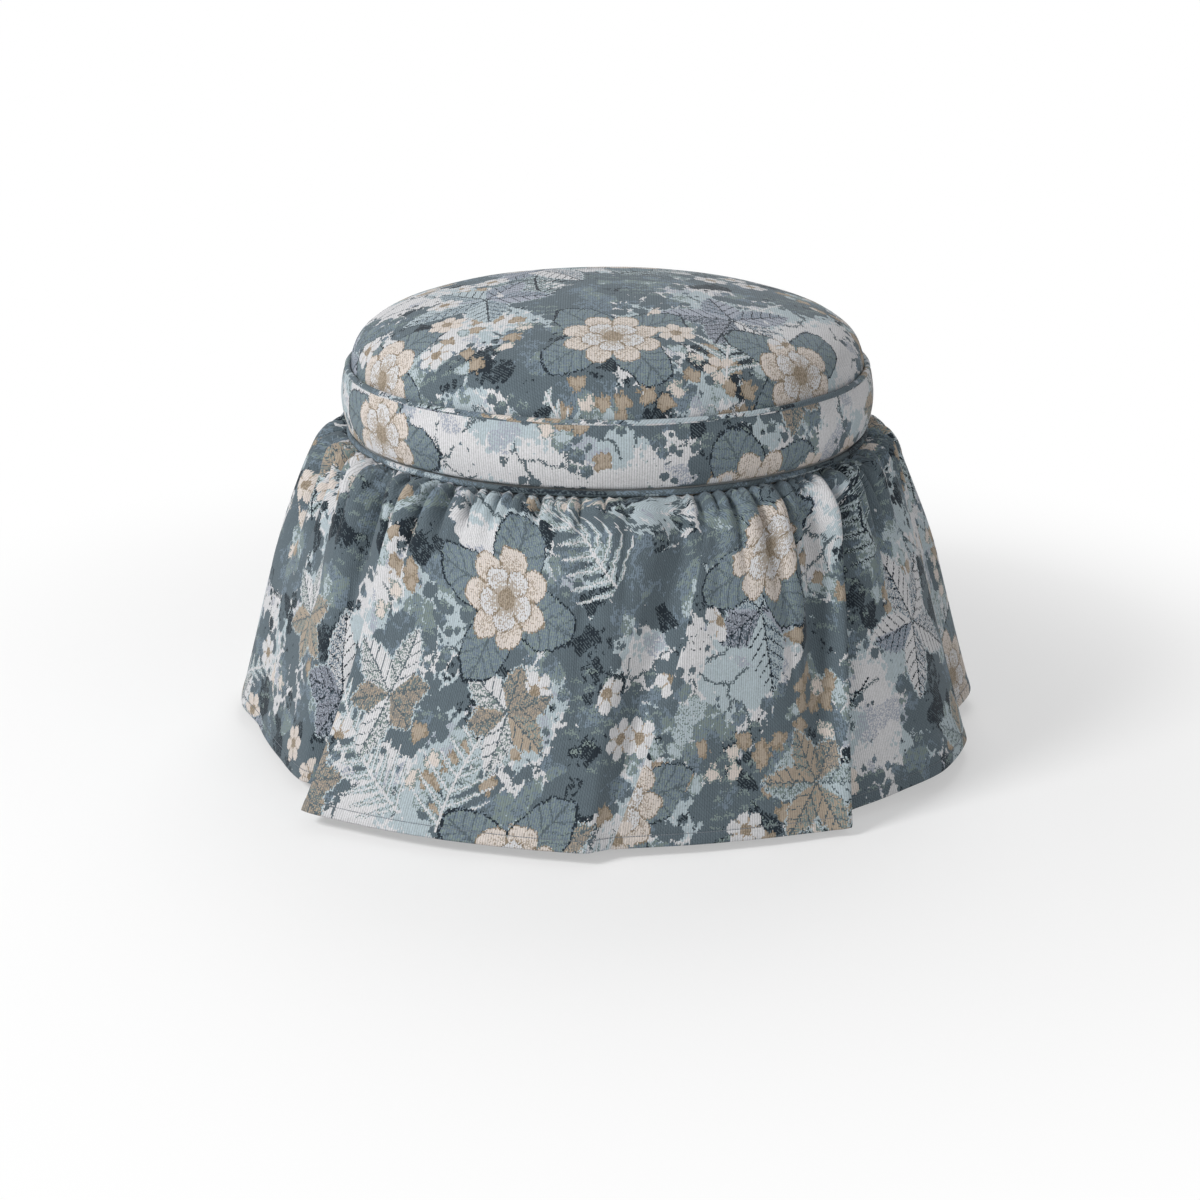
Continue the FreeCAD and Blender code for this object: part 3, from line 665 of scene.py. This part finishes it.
def add_inner_cloths(finishes):
    full, quarter = 2 * math.pi, math.pi / 2
    well_corner = (WELL_RADIUS - WELL_CORNER, WELL_FLOOR + WELL_CORNER)
    well = np.concatenate([
        line_points((0.0, WELL_FLOOR), (well_corner[0], WELL_FLOOR)),
        arc_points(well_corner, WELL_CORNER, -quarter, 0, 6)[1:],
        line_points((WELL_RADIUS, 0.0480), (WELL_RADIUS, WELL_TOP)),
    ])
    shoulder = RIM_TOP - RIM_CORNER
    rim = np.concatenate([
        line_points((RIM_INSIDE, RIM_FOOT), (RIM_INSIDE, shoulder), step=0.003),
        arc_points((RIM_INSIDE + RIM_CORNER, shoulder), RIM_CORNER, math.pi, quarter, 5)[1:],
        line_points((0.2030, RIM_TOP), (0.2300, RIM_TOP), step=0.003),
        arc_points((RIM_OUTSIDE - RIM_CORNER, shoulder), RIM_CORNER, quarter, 0, 5),
        line_points((RIM_OUTSIDE, 0.2790), (RIM_OUTSIDE, RIM_FOOT), step=0.003),
    ])
    drum = line_points((DRUM_RADIUS, DRUM_FOOT), (DRUM_RADIUS, DRUM_TOP))
    dust = line_points((0.0, DUST_HEIGHT), (DUST_RADIUS, DUST_HEIGHT))
    lid = line_points((0.0, LID_LINING_HEIGHT), (LID_LINING_RADIUS, LID_LINING_HEIGHT))
    tape = line_points((TAPE_RADIUS, TAPE_FOOT), (TAPE_RADIUS, TAPE_TOP), step=0.002)
    for cloth in (
        ("well_lining", well, 0.0012, (0.0007, 41, (3, 5, 8, 13)), into_well, "base",
         ("liner_floor", "liner_wall"), "lining_cloth", (full * WELL_RADIUS, 0.2375 + 0.099)),
        ("rim_binding_cloth", rim, 0.0005, (0.0004, 42, (19, 27, 34, 41)), facing_up, "base",
         ("rim_binding",), "lining_cloth", (math.pi * (RIM_INSIDE + RIM_OUTSIDE), 0.069)),
        ("drum_cloth", drum, 0.0006, (-0.0003, 43, (7, 12, 19, 31)), from_axis, "base",
         ("drum_cover",), "lining_cloth", (full * DRUM_RADIUS, 0.2348)),
        ("dust_cloth", dust, 0.0004, (-0.0004, 44, (4, 9, 15, 24)), facing_down, "base",
         ("dust_cover",), "dust_cloth", (0.4053, 0.4053)),
        ("lid_lining_cloth", lid, 0.0004, (-0.0004, 45, (3, 7, 11, 18)), facing_down, "lid",
         ("lid_lining",), "lining_cloth", (0.3917, 0.3917)),
        ("gathering_tape_cloth", tape, 0.0004, (0.0001, 46, (40, 52, 67)), from_axis, "base",
         ("gathering_tape",), "cotton", (full * TAPE_RADIUS, 0.016)),
    ):
        turned_cloth(finishes, *cloth)


# Finishes


def colour(code):
    """A colour written as six hex digits, in the shader's linear values."""
    parts = [int(code[i:i + 2], 16) / 255 for i in (0, 2, 4)]
    return [c / 12.92 if c <= 0.04045 else ((c + 0.055) / 1.055) ** 2.4 for c in parts] + [1.0]


def deeper(shade, share):
    return [c * share for c in shade[:3]] + [1.0]


def math_node(operation, swapped=False):
    """A method of Field that adds one Math node."""
    def method(self, *others):
        values = (*others, self) if swapped else (self, *others)
        return self.nodes.node("ShaderNodeMath", values, operation=operation)
    return method


class Field:
    """A shader socket; an expression on it adds the Math nodes."""

    def __init__(self, nodes, node, output):
        self.nodes, self.node, self.output = nodes, node, output

    @property
    def socket(self):
        return self.node.outputs[self.output]

    def other(self, output):
        return Field(self.nodes, self.node, output)

    __add__ = __radd__ = math_node("ADD")
    __sub__ = math_node("SUBTRACT")
    __rsub__ = math_node("SUBTRACT", swapped=True)
    __mul__ = __rmul__ = math_node("MULTIPLY")
    __truediv__ = math_node("DIVIDE")
    __pow__ = math_node("POWER")
    __mod__ = math_node("FLOORED_MODULO")
    __lt__ = math_node("LESS_THAN")
    __gt__ = math_node("GREATER_THAN")
    __abs__ = math_node("ABSOLUTE")
    floor, fraction = math_node("FLOOR"), math_node("FRACT")
    sine, cosine = math_node("SINE"), math_node("COSINE")
    least, most = math_node("MINIMUM"), math_node("MAXIMUM")
    root = math_node("SQRT")
    bearing = math_node("ARCTAN2")

    def ridges(self, pitch):
        """Rounded ridges from 0 to 1, one in each pitch."""
        return abs((self / pitch * math.pi).sine())

    def between(self, low, high):
        """0 below low, 1 above high, smooth between."""
        return self.nodes.node(
            "ShaderNodeMapRange",
            {"Value": self, "From Min": low, "From Max": high, "To Min": 0.0, "To Max": 1.0},
            interpolation_type="SMOOTHSTEP")


class Nodes:
    """A node tree; what is added to it comes back as a Field."""

    def __init__(self, tree):
        self.tree = tree

    def put(self, value, socket):
        if isinstance(value, Field):
            self.tree.links.new(value.socket, socket)
        else:
            socket.default_value = value

    def node(self, kind, inputs=(), output=0, **settings):
        node = self.tree.nodes.new(kind)
        for key, value in settings.items():
            setattr(node, key, value)
        for key, value in inputs.items() if isinstance(inputs, dict) else enumerate(inputs):
            self.put(value, node.inputs[key])
        return Field(self, node, output)

    def seen(self):
        """1 on rays from the camera, straight, mirrored or through something clear."""
        path = self.node("ShaderNodeLightPath")
        straight, mirrored = path.other("Is Camera Ray"), path.other("Is Glossy Ray")
        return straight.most(mirrored).most(path.other("Is Transmission Ray"))


class Finish(Nodes):
    """A procedural material."""

    def __init__(self, name, **plain):
        self.material = bpy.data.materials.new(name)
        self.material.use_nodes = True
        super().__init__(self.material.node_tree)
        self.shader = next(n for n in self.tree.nodes if n.type == "BSDF_PRINCIPLED")
        for key, value in plain.items():
            self.feed(key.replace("_", " "), value)

    def feed(self, name, value):
        self.put(value, self.shader.inputs[name])

    def mix(self, share, first, second, blend="MIX"):
        """The second colour over the first, by a share from 0 to 1."""
        return self.node(
            "ShaderNodeMix", {0: share, 6: first, 7: second}, output=2, data_type="RGBA", blend_type=blend)

    def layers(self, base, *coats):
        """Colours over a base, one after another, each by its share."""
        for share, coat in coats:
            base = self.mix(share, base, coat)
        return base

    def shaded(self, picture, shade):
        return self.mix(1.0, picture, self.vector(shade, shade, shade), "MULTIPLY")

    def vector(self, x, y, z=0.0):
        return self.node("ShaderNodeCombineXYZ", (x, y, z))

    def split(self, field, kind="XYZ"):
        first = self.node("ShaderNodeSeparate" + kind, (field,))
        return first, first.other(1), first.other(2)

    def vector_math(self, operation, *values):
        return self.node("ShaderNodeVectorMath", values, operation=operation)

    def shift(self, vector, x, y):
        return self.vector_math("ADD", vector, (x, y, 0.0))

    def noise(self, vector, scale, detail=2.0, roughness=0.5, distortion=0.0):
        return self.node("ShaderNodeTexNoise", {
            "Vector": vector, "Scale": scale, "Detail": detail, "Roughness": roughness,
            "Distortion": distortion}, noise_dimensions="3D")

    def cells(self, vector, scale, randomness=1.0, feature="F1", dimensions="2D"):
        return self.node(
            "ShaderNodeTexVoronoi", {"Vector": vector, "Scale": scale, "Randomness": randomness},
            voronoi_dimensions=dimensions, feature=feature)

    def chance(self, x, y):
        return self.node("ShaderNodeTexWhiteNoise", {"Vector": self.vector(x, y)}, noise_dimensions="2D")

    def bump(self, height, distance, strength=1.0):
        self.feed("Normal", self.node(
            "ShaderNodeBump", {"Strength": strength, "Distance": distance, "Height": height}))

    def on_object(self):
        return self.node("ShaderNodeTexCoord", output="Object")

    def level(self):
        """1 on faces that lie level, 0 on upright ones."""
        return abs(self.split(self.node("ShaderNodeNewGeometry", output="Normal"))[2]) > 0.7


# Yarns of the tapestry
CREAM, AQUA, SLATE, DARK = colour("D6D6D8"), colour("B4C1C7"), colour("5B676D"), colour("262F37")
STEEL_BLUE, SAGE, TAN, LILAC = colour("758490"), colour("808E8C"), colour("AEA191"), colour("A5ABB7")
PETAL, EYE = colour("D8CFC8"), colour("8E816F")

RIB, PICK = 0.0021, 0.0010  # from rib to rib and from one crossing yarn to the next
PRINT = 0.74  # motif units in a metre of cloth: fewer make larger motifs
VEIN_STEP = 0.0078


def motif_place(f, point, scale, randomness, shift):
    """The point seen from the nearest motif's centre, across and up, and three chances for that motif."""
    moved = f.shift(point, *shift)
    cells = f.cells(moved, scale, randomness)
    across, upward, _ = f.split(f.vector_math("SUBTRACT", moved, cells.other("Position")))
    return across, upward, f.split(cells.other("Color"), "Color")


def round_motif(*motif):
    """How far the point lies from the nearest motif's centre, its angle round it, and the motif's chances."""
    across, upward, chances = motif_place(*motif)
    reach = (across * across + upward * upward).root()
    return reach, upward.bearing(across) + chances[0] * (2 * math.pi), chances


def leaf_spray(f, point, scale, shift, leaves, length, width):
    """Veined leaves round a centre: leaf, rim, vein, shaded half, the spray's chances and the leaf's own."""
    reach, angle, chances = round_motif(f, point, scale, 0.75, shift)
    sector = 2 * math.pi / leaves
    turn = angle / sector
    own = f.chance(turn.floor(), chances[1] * 91.0)
    lean = (turn.fraction() - 0.5) * sector
    along, aside = reach * lean.cosine(), reach * lean.sine()
    side = abs(aside)
    share = (along / (length * (0.62 + own * 0.45))).most(0.0) ** 0.8
    slant = along - side * 0.9
    inside = share * (1 - share) * (4 * width) - slant.ridges(VEIN_STEP) * 0.0016 - side
    leaf = inside > 0.0
    rim = (inside < 0.0013) * leaf
    vein = (slant / VEIN_STEP).fraction() < 0.15
    vein = vein.most(side < 0.0006) * leaf * (inside > 0.0012)
    return leaf, rim, vein, aside > 0.0, chances, own


def fern(f, point, scale, shift, length):
    """A curved stem with narrow leaflets on both sides: the fern, its ribs and its chances."""
    across, upward, chances = motif_place(f, point, scale, 0.8, shift)
    turn = chances[0] * 2.2 + 0.5
    cos, sin = turn.cosine(), turn.sine()
    along = across * cos + upward * sin + length / 2
    side = abs(upward * cos - across * sin + along * along * 3.0 - 0.008)
    share = along / length
    taper = ((1 - share) * 0.036).least(share * 0.16 + 0.004)
    step = abs(((along - side * 0.7) / 0.0098).fraction() - 0.5)
    leaflet = (step < (1 - side / taper.most(0.0005)) * 0.42) * (side < taper)
    stem = side < 0.0008
    return leaflet.most(stem) * (share > 0.0) * (share < 1.0), stem.most(step < 0.06), chances


def blossom(f, point, scale, shift, radius):
    """A small flower with six round petals: flower, darker eye, creases between petals, chances."""
    reach, angle, chances = round_motif(f, point, scale, 0.75, shift)
    petal = abs((angle * 3.0).cosine())
    flower = reach < radius * (0.58 + petal ** 0.6 * 0.42)
    return flower, reach < radius * 0.30, (petal < 0.30) * flower, chances


def rosette(f, point, scale, shift, radius):
    """A full flower on dark leaves: its leaves, outer petals, inner petals and heart, each with its lines."""
    reach, angle, chances = round_motif(f, point, scale, 0.7, shift)
    reach = reach * (0.86 + f.noise(point, 60.0, 1.0) * 0.28)
    count = (chances[2] * 3.0).floor() + 6.0
    outer, inner = abs((angle * count / 2).cosine()), abs((angle * 2.5 + 0.7).cosine())
    quarter = angle * 2.0 + 1.1
    blade, across_blade = abs(quarter.cosine()), abs(quarter.sine()) * reach
    blade_edge = radius * (0.80 + blade ** 1.6 * 0.95)
    outer_edge = radius * (0.66 + outer ** 0.5 * 0.34)
    inner_edge = radius * (0.40 + inner ** 0.5 * 0.24)
    vein = ((reach - across_blade * 0.5) / 0.0075).fraction() < 0.16
    leaves = (reach < blade_edge, vein.most(across_blade < 0.0016), reach > blade_edge - 0.0018)
    petals = (reach < outer_edge, (outer < 0.16).most(reach > outer_edge - 0.0011), reach / outer_edge)
    middle = (reach < inner_edge, (inner < 0.16).most(reach > inner_edge - 0.0010), reach / inner_edge)
    return leaves, petals, middle, reach < radius * 0.20, chances


def sky_and_masses(f, weave, speckle, twill, leaflet):
    """Leafy masses with lobed edges, against a pale sky with twigs."""
    lobe = f.cells(weave, 98.0)
    lobe_at, leaflet_at = lobe.other("Position"), leaflet.other("Position")
    far_mass = f.noise(lobe_at, 12.0, 2.0, 0.6)
    near_mass = f.noise(leaflet_at, 12.0, 2.0, 0.6)
    canopy = (far_mass + (0.50 - lobe) * 0.15).most(near_mass + (0.42 - leaflet) * 0.15 - 0.02)
    sky_mass = f.noise(f.shift(leaflet_at, 3.1, 1.7), 20.0, 2.0) + (0.45 - leaflet) * 0.14
    veil = f.noise(f.shift(weave, 5.1, 2.7), 34.0, 2.0)
    uneven = f.noise(weave, 42.0, 2.0).other("Color")
    bent = f.vector_math("MULTIPLY_ADD", uneven, (0.030, 0.030, 0.0), weave)
    kept = f.noise(f.shift(weave, 9.2, 0.4), 19.0, 1.0) > 0.50
    twig = (f.cells(bent, 33.0, 1.0, "DISTANCE_TO_EDGE") < 0.040) * kept * (veil < 0.58)
    sky = f.layers(
        CREAM,
        (sky_mass > 0.515, AQUA),
        ((veil > 0.60) * (speckle < 0.55), LILAC),
        (twig * (speckle < 0.75), SLATE))

    broad = f.noise(f.shift(lobe_at, 7.9, 5.3), 26.0, 2.0, 0.6)
    small = f.noise(f.shift(leaflet_at, 1.9, 3.3), 30.0, 2.0, 0.6)
    tone = broad * 0.75 + small * 0.25 + (leaflet - 0.4) * 0.06
    _, above_lobe, _ = f.split(f.vector_math("SUBTRACT", weave, lobe_at))
    shown = f.noise(f.shift(lobe_at, 2.2, 9.4), 17.0, 1.0) > 0.56
    masses = f.layers(
        SLATE,
        (twill * 0.30, STEEL_BLUE),
        ((tone > 0.545) * (speckle < 0.80), STEEL_BLUE),
        ((tone > 0.585) * (speckle > 0.22), SAGE),
        ((tone > 0.625) * (speckle < 0.80), AQUA),
        ((tone < 0.435) * twill.most(speckle < 0.30), DARK),
        ((tone < 0.385) * (speckle < 0.80), DARK),
        (shown * (above_lobe > 0.0012) * (lobe < 0.46) * (speckle < 0.55), SAGE))
    return f.mix(canopy > 0.487, sky, masses)


def add_clumps(f, picture, weave, speckle, leaflet):
    """Small round foliage in patches."""
    sprig = f.cells(weave, 74.0, 0.9)
    patch = f.noise(f.shift(sprig.other("Position"), 4.4, 6.1), 11.0, 1.0)
    tint, second, third = f.split(sprig.other("Color"), "Color")
    clump = sprig + leaflet * 0.42
    foliage = f.layers(
        TAN,
        (tint > 0.55, f.mix(second > 0.5, PETAL, AQUA)),
        ((clump > 0.44) * (speckle < 0.6), f.mix(tint > 0.55, EYE, SAGE)))
    return f.mix((patch > 0.585) * (clump < 0.60) * (third > 0.2), picture, foliage)


def add_ferns_and_leaves(f, picture, weave, speckle):
    frond, ribs, chances = fern(f, weave, 7.0, (0.37, 0.11), 0.125)
    green, rib_yarn = f.mix(speckle < 0.62, SAGE, AQUA), f.mix(chances[2] > 0.5, DARK, CREAM)
    picture = f.mix(frond * (chances[1] > 0.30), picture, f.mix(ribs, green, rib_yarn))
    for shift, scale, length, width, often, light, half, dark, count in (
        ((0.83, 0.29), 7.6, 0.058, 0.0150, 0.40, LILAC, STEEL_BLUE, DARK, 5.0),
        ((0.17, 0.71), 8.8, 0.046, 0.0120, 0.55, TAN, SAGE, SLATE, 6.0),
    ):
        leaf, rim, vein, shaded, chances, own = leaf_spray(f, weave, scale, shift, count, length, width)
        blade = f.layers(
            light,
            (own > 0.62, f.mix(chances[1] > 0.5, CREAM, AQUA)),
            (shaded * (speckle < 0.45), half),
            ((own < 0.28) * (speckle < 0.6) * 0.55, dark),
            (rim * (speckle < 0.8), AQUA),
            (vein * (speckle < 0.85), dark))
        picture = f.mix(leaf * (chances[2] > often), picture, blade)
    return picture


def add_flowers(f, picture, weave, speckle):
    leaves, petals, middle, heart, chances = rosette(f, weave, 6.2, (0.59, 0.47), 0.031)
    bloom = f.layers(
        STEEL_BLUE,
        (speckle < 0.35, SAGE),
        (leaves[1] * (speckle < 0.75), SLATE),
        (leaves[2] * (speckle < 0.85), DARK))
    for (inside, line, share), pale in ((petals, PETAL), (middle, CREAM)):
        tint = f.mix((speckle > share * 1.5 - 0.45) * 0.8, pale, TAN)
        bloom = f.mix(inside, bloom, f.mix(line * (speckle < 0.8), tint, EYE))
    bloom = f.mix(heart, bloom, f.mix(speckle < 0.5, TAN, EYE))
    picture = f.mix(leaves[0].most(petals[0]) * (chances[1] > 0.52), picture, bloom)

    flower, eye, crease, chances = blossom(f, weave, 24.0, (0.41, 0.93), 0.0125)
    grouped = f.noise(f.shift(weave, 1.3, 8.8), 8.0, 1.0) > 0.57
    small = f.layers(
        CREAM,
        (chances[2] > 0.6, PETAL),
        (crease * (speckle < 0.7), TAN),
        (eye, f.mix(speckle < 0.6, TAN, EYE)))
    return f.mix(flower * grouped * (chances[1] > 0.2), picture, small)


def woven(name):
    """A finish for tapestry yarns, and the flat place on the cloth: whole, across the ribs and along them."""
    f = Finish(name, Roughness=0.86, Specular_IOR_Level=0.16, Sheen_Weight=0.08, Sheen_Roughness=0.5)
    flat = f.node("ShaderNodeUVMap", uv_map="cloth")
    across, along, _ = f.split(flat)
    return f, flat, across, along


def tapestry(name):
    """Ribbed jacquard cloth: leafy masses, small foliage, ferns, veined leaves and flowers."""
    f, _, u, v = woven(name)
    column, pick = (u / (RIB / 2)).floor(), (v / PICK).floor()
    ragged = f.chance(column, 7.0) - 0.5
    weave = f.vector((column + 0.5) * (RIB / 2 * PRINT), (pick * PICK + ragged * 0.0022) * PRINT)
    speckle = f.chance(column, pick)
    twill = ((column + pick) / 3.0).fraction() < 0.5
    leaflet = f.cells(weave, 215.0)
    picture = sky_and_masses(f, weave, speckle, twill, leaflet)
    picture = add_clumps(f, picture, weave, speckle, leaflet)
    picture = add_ferns_and_leaves(f, picture, weave, speckle)
    picture = add_flowers(f, picture, weave, speckle)

    # Yarns: a fine line of painted shade in the groove between ribs, and a little unevenness from yarn to
    # yarn
    rib, thread = u.ridges(RIB), v.ridges(PICK)
    uneven = f.chance(column, 3.0) * 0.06 + speckle * 0.17
    f.feed("Base Color", f.shaded(picture, 0.77 + rib.between(0.05, 0.65) * 0.34 - uneven))
    f.bump(rib * 0.7 + thread * 0.3 + speckle * 0.3, 0.00026, 0.8)
    return f.material


def bias_cloth(name):
    """The lower welt's cloth, cut on the bias: slate yarns with paler stretches, and slanting ribs."""
    f, flat, u, v = woven(name)
    speckle = f.chance((u / RIB).floor(), (v / PICK).floor())
    stretch = f.noise(flat, 11.0, 2.0, 0.6)
    yarns = f.layers(
        SLATE,
        ((stretch > 0.50) * (speckle < 0.6), STEEL_BLUE),
        ((stretch > 0.60) * (speckle > 0.3), AQUA),
        ((stretch < 0.44) * (speckle < 0.6), DARK),
        ((stretch > 0.68) * (speckle > 0.4), CREAM))
    rib = u.ridges(RIB)
    # Painted shade in the groove between ribs, and a little unevenness from yarn to yarn
    f.feed("Base Color", f.shaded(yarns, 0.74 + rib.between(0.05, 0.6) * 0.28 - speckle * 0.1))
    f.bump(rib + speckle * 0.2, 0.0003, 0.8)
    return f.material


def plain_weave(name, warp, weft, pitch):
    """A plain cloth on Object coordinates: round it on upright faces, flat on level ones."""
    f = Finish(name, Roughness=0.9, Specular_IOR_Level=0.15, Sheen_Weight=0.1)
    x, y, z = f.split(f.on_object())
    around = y.bearing(x) * 0.21
    level = f.level()
    a = around + (x - around) * level
    b = z + (y - z) * level
    over = ((a / pitch).floor() + (b / pitch).floor()) % 2.0
    slubs = [f.noise(f.vector(a * one, b * other), 1.0, 2.0) for one, other in ((30.0, 400.0), (400.0, 30.0))]
    slub = slubs[0] * 0.5 + slubs[1] * 0.5
    f.feed("Base Color", f.layers(
        warp, (over, weft), (slub.between(0.35, 0.7) * 0.35, deeper(warp, 0.72))))
    height = a.ridges(pitch) * over + b.ridges(pitch) * (1 - over)
    f.bump(height + slub * 0.5, pitch * 0.25, 0.6)
    return f.material


def plywood(name, face, layer):
    """Birch ply: long grain on its faces, and its layers on its edges."""
    f = Finish(name, Specular_IOR_Level=0.3)
    x, y, z = f.split(f.on_object())
    figure = f.noise(f.vector(x * 2.2, y * 26.0, z * 26.0), 1.0, 4.0, 0.6, 0.6)
    fine = f.noise(f.vector(x * 18.0, y * 420.0, z * 420.0), 1.0, 2.0)
    plies = ((z / 0.0030).floor() % 2.0) * (1 - f.level())
    f.feed("Base Color", f.layers(
        face,
        (figure.between(0.35, 0.68), deeper(face, 0.78)),
        (fine.between(0.5, 0.75) * 0.25, layer),
        (plies * 0.55, layer)))
    f.feed("Roughness", 0.62 + fine * 0.18)
    f.bump(fine + figure * 0.5 + plies * 0.4, 0.0003, 0.35)
    return f.material


def grained(f, grain, low, shades, roughness, relief):
    """Two shades, a roughness and a relief that follow one grain."""
    f.feed("Base Color", f.mix(grain.between(low, 0.7), *map(colour, shades)))
    f.feed("Roughness", roughness[0] + grain * roughness[1])
    f.bump(grain, *relief)
    return f.material


def stained_wood(name):
    f = Finish(name, Coat_Weight=0.25, Coat_Roughness=0.3)
    x, y, z = f.split(f.on_object())
    figure = f.noise(f.vector(x * 60.0, y * 60.0, z * 8.0), 1.0, 4.0, 0.6, 0.4)
    return grained(f, figure, 0.35, ("3A281B", "6A4A30"), (0.38, 0.2), (0.0003, 0.3))


def steel(name):
    f = Finish(name, Metallic=1.0)
    smear = f.noise(f.on_object(), 900.0, 3.0, 0.6)
    return grained(f, smear, 0.3, ("B9B7AE", "8F8E88"), (0.28, 0.25), (0.0001, 0.2))


def foam(name):
    f = Finish(name, Roughness=0.95, Specular_IOR_Level=0.1)
    place = f.on_object()
    pores = f.cells(place, 620.0, dimensions="3D")
    cloud = f.noise(place, 25.0, 2.0)
    # Painted shade in the pores' hollows, which the bump also sinks; the cloud is the foam's own tone
    f.feed("Base Color", f.layers(
        colour("EFE7C9"),
        (cloud.between(0.3, 0.7), colour("E3D8B2")),
        ((pores < 0.28) * 0.5, colour("B9AC84"))))
    f.bump(pores, 0.0006, 0.6)
    return f.material


def fibre(name, light, dark, scale):
    """Soft or twisted fibres: wadding, tape, cord, card and the dust cloth."""
    f = Finish(name, Roughness=0.95, Specular_IOR_Level=0.08, Sheen_Weight=0.1)
    place = f.on_object()
    strands = f.noise(place, scale, 4.0, 0.7, 1.4)
    clumps = f.noise(place, scale / 9.0, 2.0)
    f.feed("Base Color", f.mix((strands * 0.7 + clumps * 0.3).between(0.35, 0.65), dark, light))
    f.bump(strands, 0.0006, 0.6)
    return f.material


def moulded(name):
    f = Finish(name, Specular_IOR_Level=0.4)
    grain = f.noise(f.on_object(), 1400.0, 2.0)
    return grained(f, grain, 0.3, ("26272A", "34363A"), (0.5, 0.15), (0.0001, 0.4))


def sewing_thread(name):
    f = Finish(name, Roughness=0.7, Specular_IOR_Level=0.25, Sheen_Weight=0.1)
    x, y, z = f.split(f.on_object())
    twist = (x + y + z * 1.7).ridges(0.0009)
    # Painted shade in the grooves of the twist, lighter on its crests; the same twist is the bump
    f.feed("Base Color", f.mix(twist, colour("596168"), colour("8B939A")))
    f.bump(twist, 0.0001, 0.5)
    return f.material


def plain_finishes():
    """The finish of each material slot other than the tapestry."""
    return {
        "plywood": plywood("birch_plywood", colour("D8BC93"), colour("A98255")),
        "foot_wood": stained_wood("stained_beech"),
        "glide_plastic": moulded("moulded_glide"),
        "steel": steel("zinc_plated_steel"),
        "lining_cloth": plain_weave("grey_linen_lining", colour("C4C6C5"), colour("B2B5B6"), 0.0009),
        "dust_cloth": fibre("dust_cloth_fibre", colour("2B2C2F"), colour("191A1C"), 700.0),
        "cotton": fibre("cotton_cord", colour("E0D8C8"), colour("BDB29C"), 900.0),
        "card": fibre("grey_card", colour("A5886A"), colour("7F6549"), 600.0),
        "foam": foam("seat_foam"),
        "wadding": fibre("white_wadding", colour("F1F0EC"), colour("CFCDC6"), 320.0),
    }


def finish_frame_pieces(finishes):
    """Gives each CAD node that still shows the finish of its material slot."""
    for part in frame["record"]["subparts"]:
        node = frame["nodes"][part["node"]]
        finish = finishes.get(part["material_slot"])
        if finish is not None and not node.hide_render:
            node.data.materials.clear()
            node.data.materials.append(finish)


# Studio and camera


def add_floor():
    """A pale floor that fades into the white round it."""
    choose()
    bpy.ops.mesh.primitive_plane_add(size=14.0, location=(0, 0, -0.0002))
    floor = named("studio_floor")
    f = Finish("pale_floor", Roughness=0.9, Specular_IOR_Level=0.1, Base_Color=colour("F6F6F6"))
    x, y, _ = f.split(f.on_object())
    far = (x * x + y * y).root().between(0.36, 0.95)
    glow = f.node("ShaderNodeEmission", {"Color": (1, 1, 1, 1), "Strength": 1.0})
    lit = Field(f, f.shader, 0)
    both = f.node("ShaderNodeMixShader", ((0.42 + far * 0.58) * f.seen(), lit, glow))
    out = next(n for n in f.tree.nodes if n.type == "OUTPUT_MATERIAL")
    f.put(both, out.inputs["Surface"])
    floor.data.materials.append(f.material)


def add_world():
    """White where the camera sees it, and a dim light on the object."""
    world = bpy.data.worlds.new("studio")
    bpy.context.scene.world = world
    world.use_nodes = True
    nodes = Nodes(world.node_tree)
    nodes.tree.nodes.clear()
    dim = nodes.node("ShaderNodeBackground", {"Strength": 0.28})
    white = nodes.node("ShaderNodeBackground", {"Color": (1, 1, 1, 1)})
    both = nodes.node("ShaderNodeMixShader", (nodes.seen(), dim, white))
    nodes.node("ShaderNodeOutputWorld", {"Surface": both})


def add_lights():
    for name, place, size, power in (
        ("key_light", (-2.0, -1.3, 2.1), 0.8, 64.0),
        ("fill_light", (1.4, -2.4, 1.1), 1.8, 15.0),
        ("back_light", (0.3, 2.0, 2.4), 1.6, 26.0),
    ):
        choose()
        bpy.ops.object.light_add(type="AREA", location=place)
        lamp = named(name)
        lamp.data.size = size
        lamp.data.energy = power
        aim = np.array((0, 0, 0.22)) - np.array(place)
        lamp.rotation_euler = (
            math.atan2(math.hypot(aim[0], aim[1]), -aim[2]), 0, math.atan2(-aim[0], aim[1]))


def add_camera():
    """Stands where the photograph was taken from."""
    choose()
    bpy.ops.object.camera_add(
        location=CAMERA_PLACE, rotation=(math.radians(90 - CAMERA_DOWN), 0, math.radians(CAMERA_LEFT)))
    camera = named("photo_camera")
    camera.data.sensor_width = 36
    camera.data.lens = CAMERA_LENS
    bpy.context.scene.camera = camera


def main():
    bpy.context.scene.view_settings.view_transform = "Standard"
    cloth = tapestry("tapestry_cloth")
    skirt, grid, normal, flat, size = make_skirt(cloth)
    stitching = make_hem_stitches(grid, normal, flat, size[1], sewing_thread("hem_thread"))
    make_cushion(cloth)
    make_band(cloth)
    welt_cloth = bias_cloth("bias_cut_cloth")
    make_welt("upper_welt", "upper_welt_cover", "lid", UPPER_WELT, 5, cloth)
    make_welt("lower_welt", "lower_welt_cover", "base", LOWER_WELT, 8, welt_cloth)
    finishes = plain_finishes()
    add_inner_cloths(finishes)
    finish_frame_pieces(finishes)
    add_floor()
    add_world()
    add_lights()
    add_camera()


main()
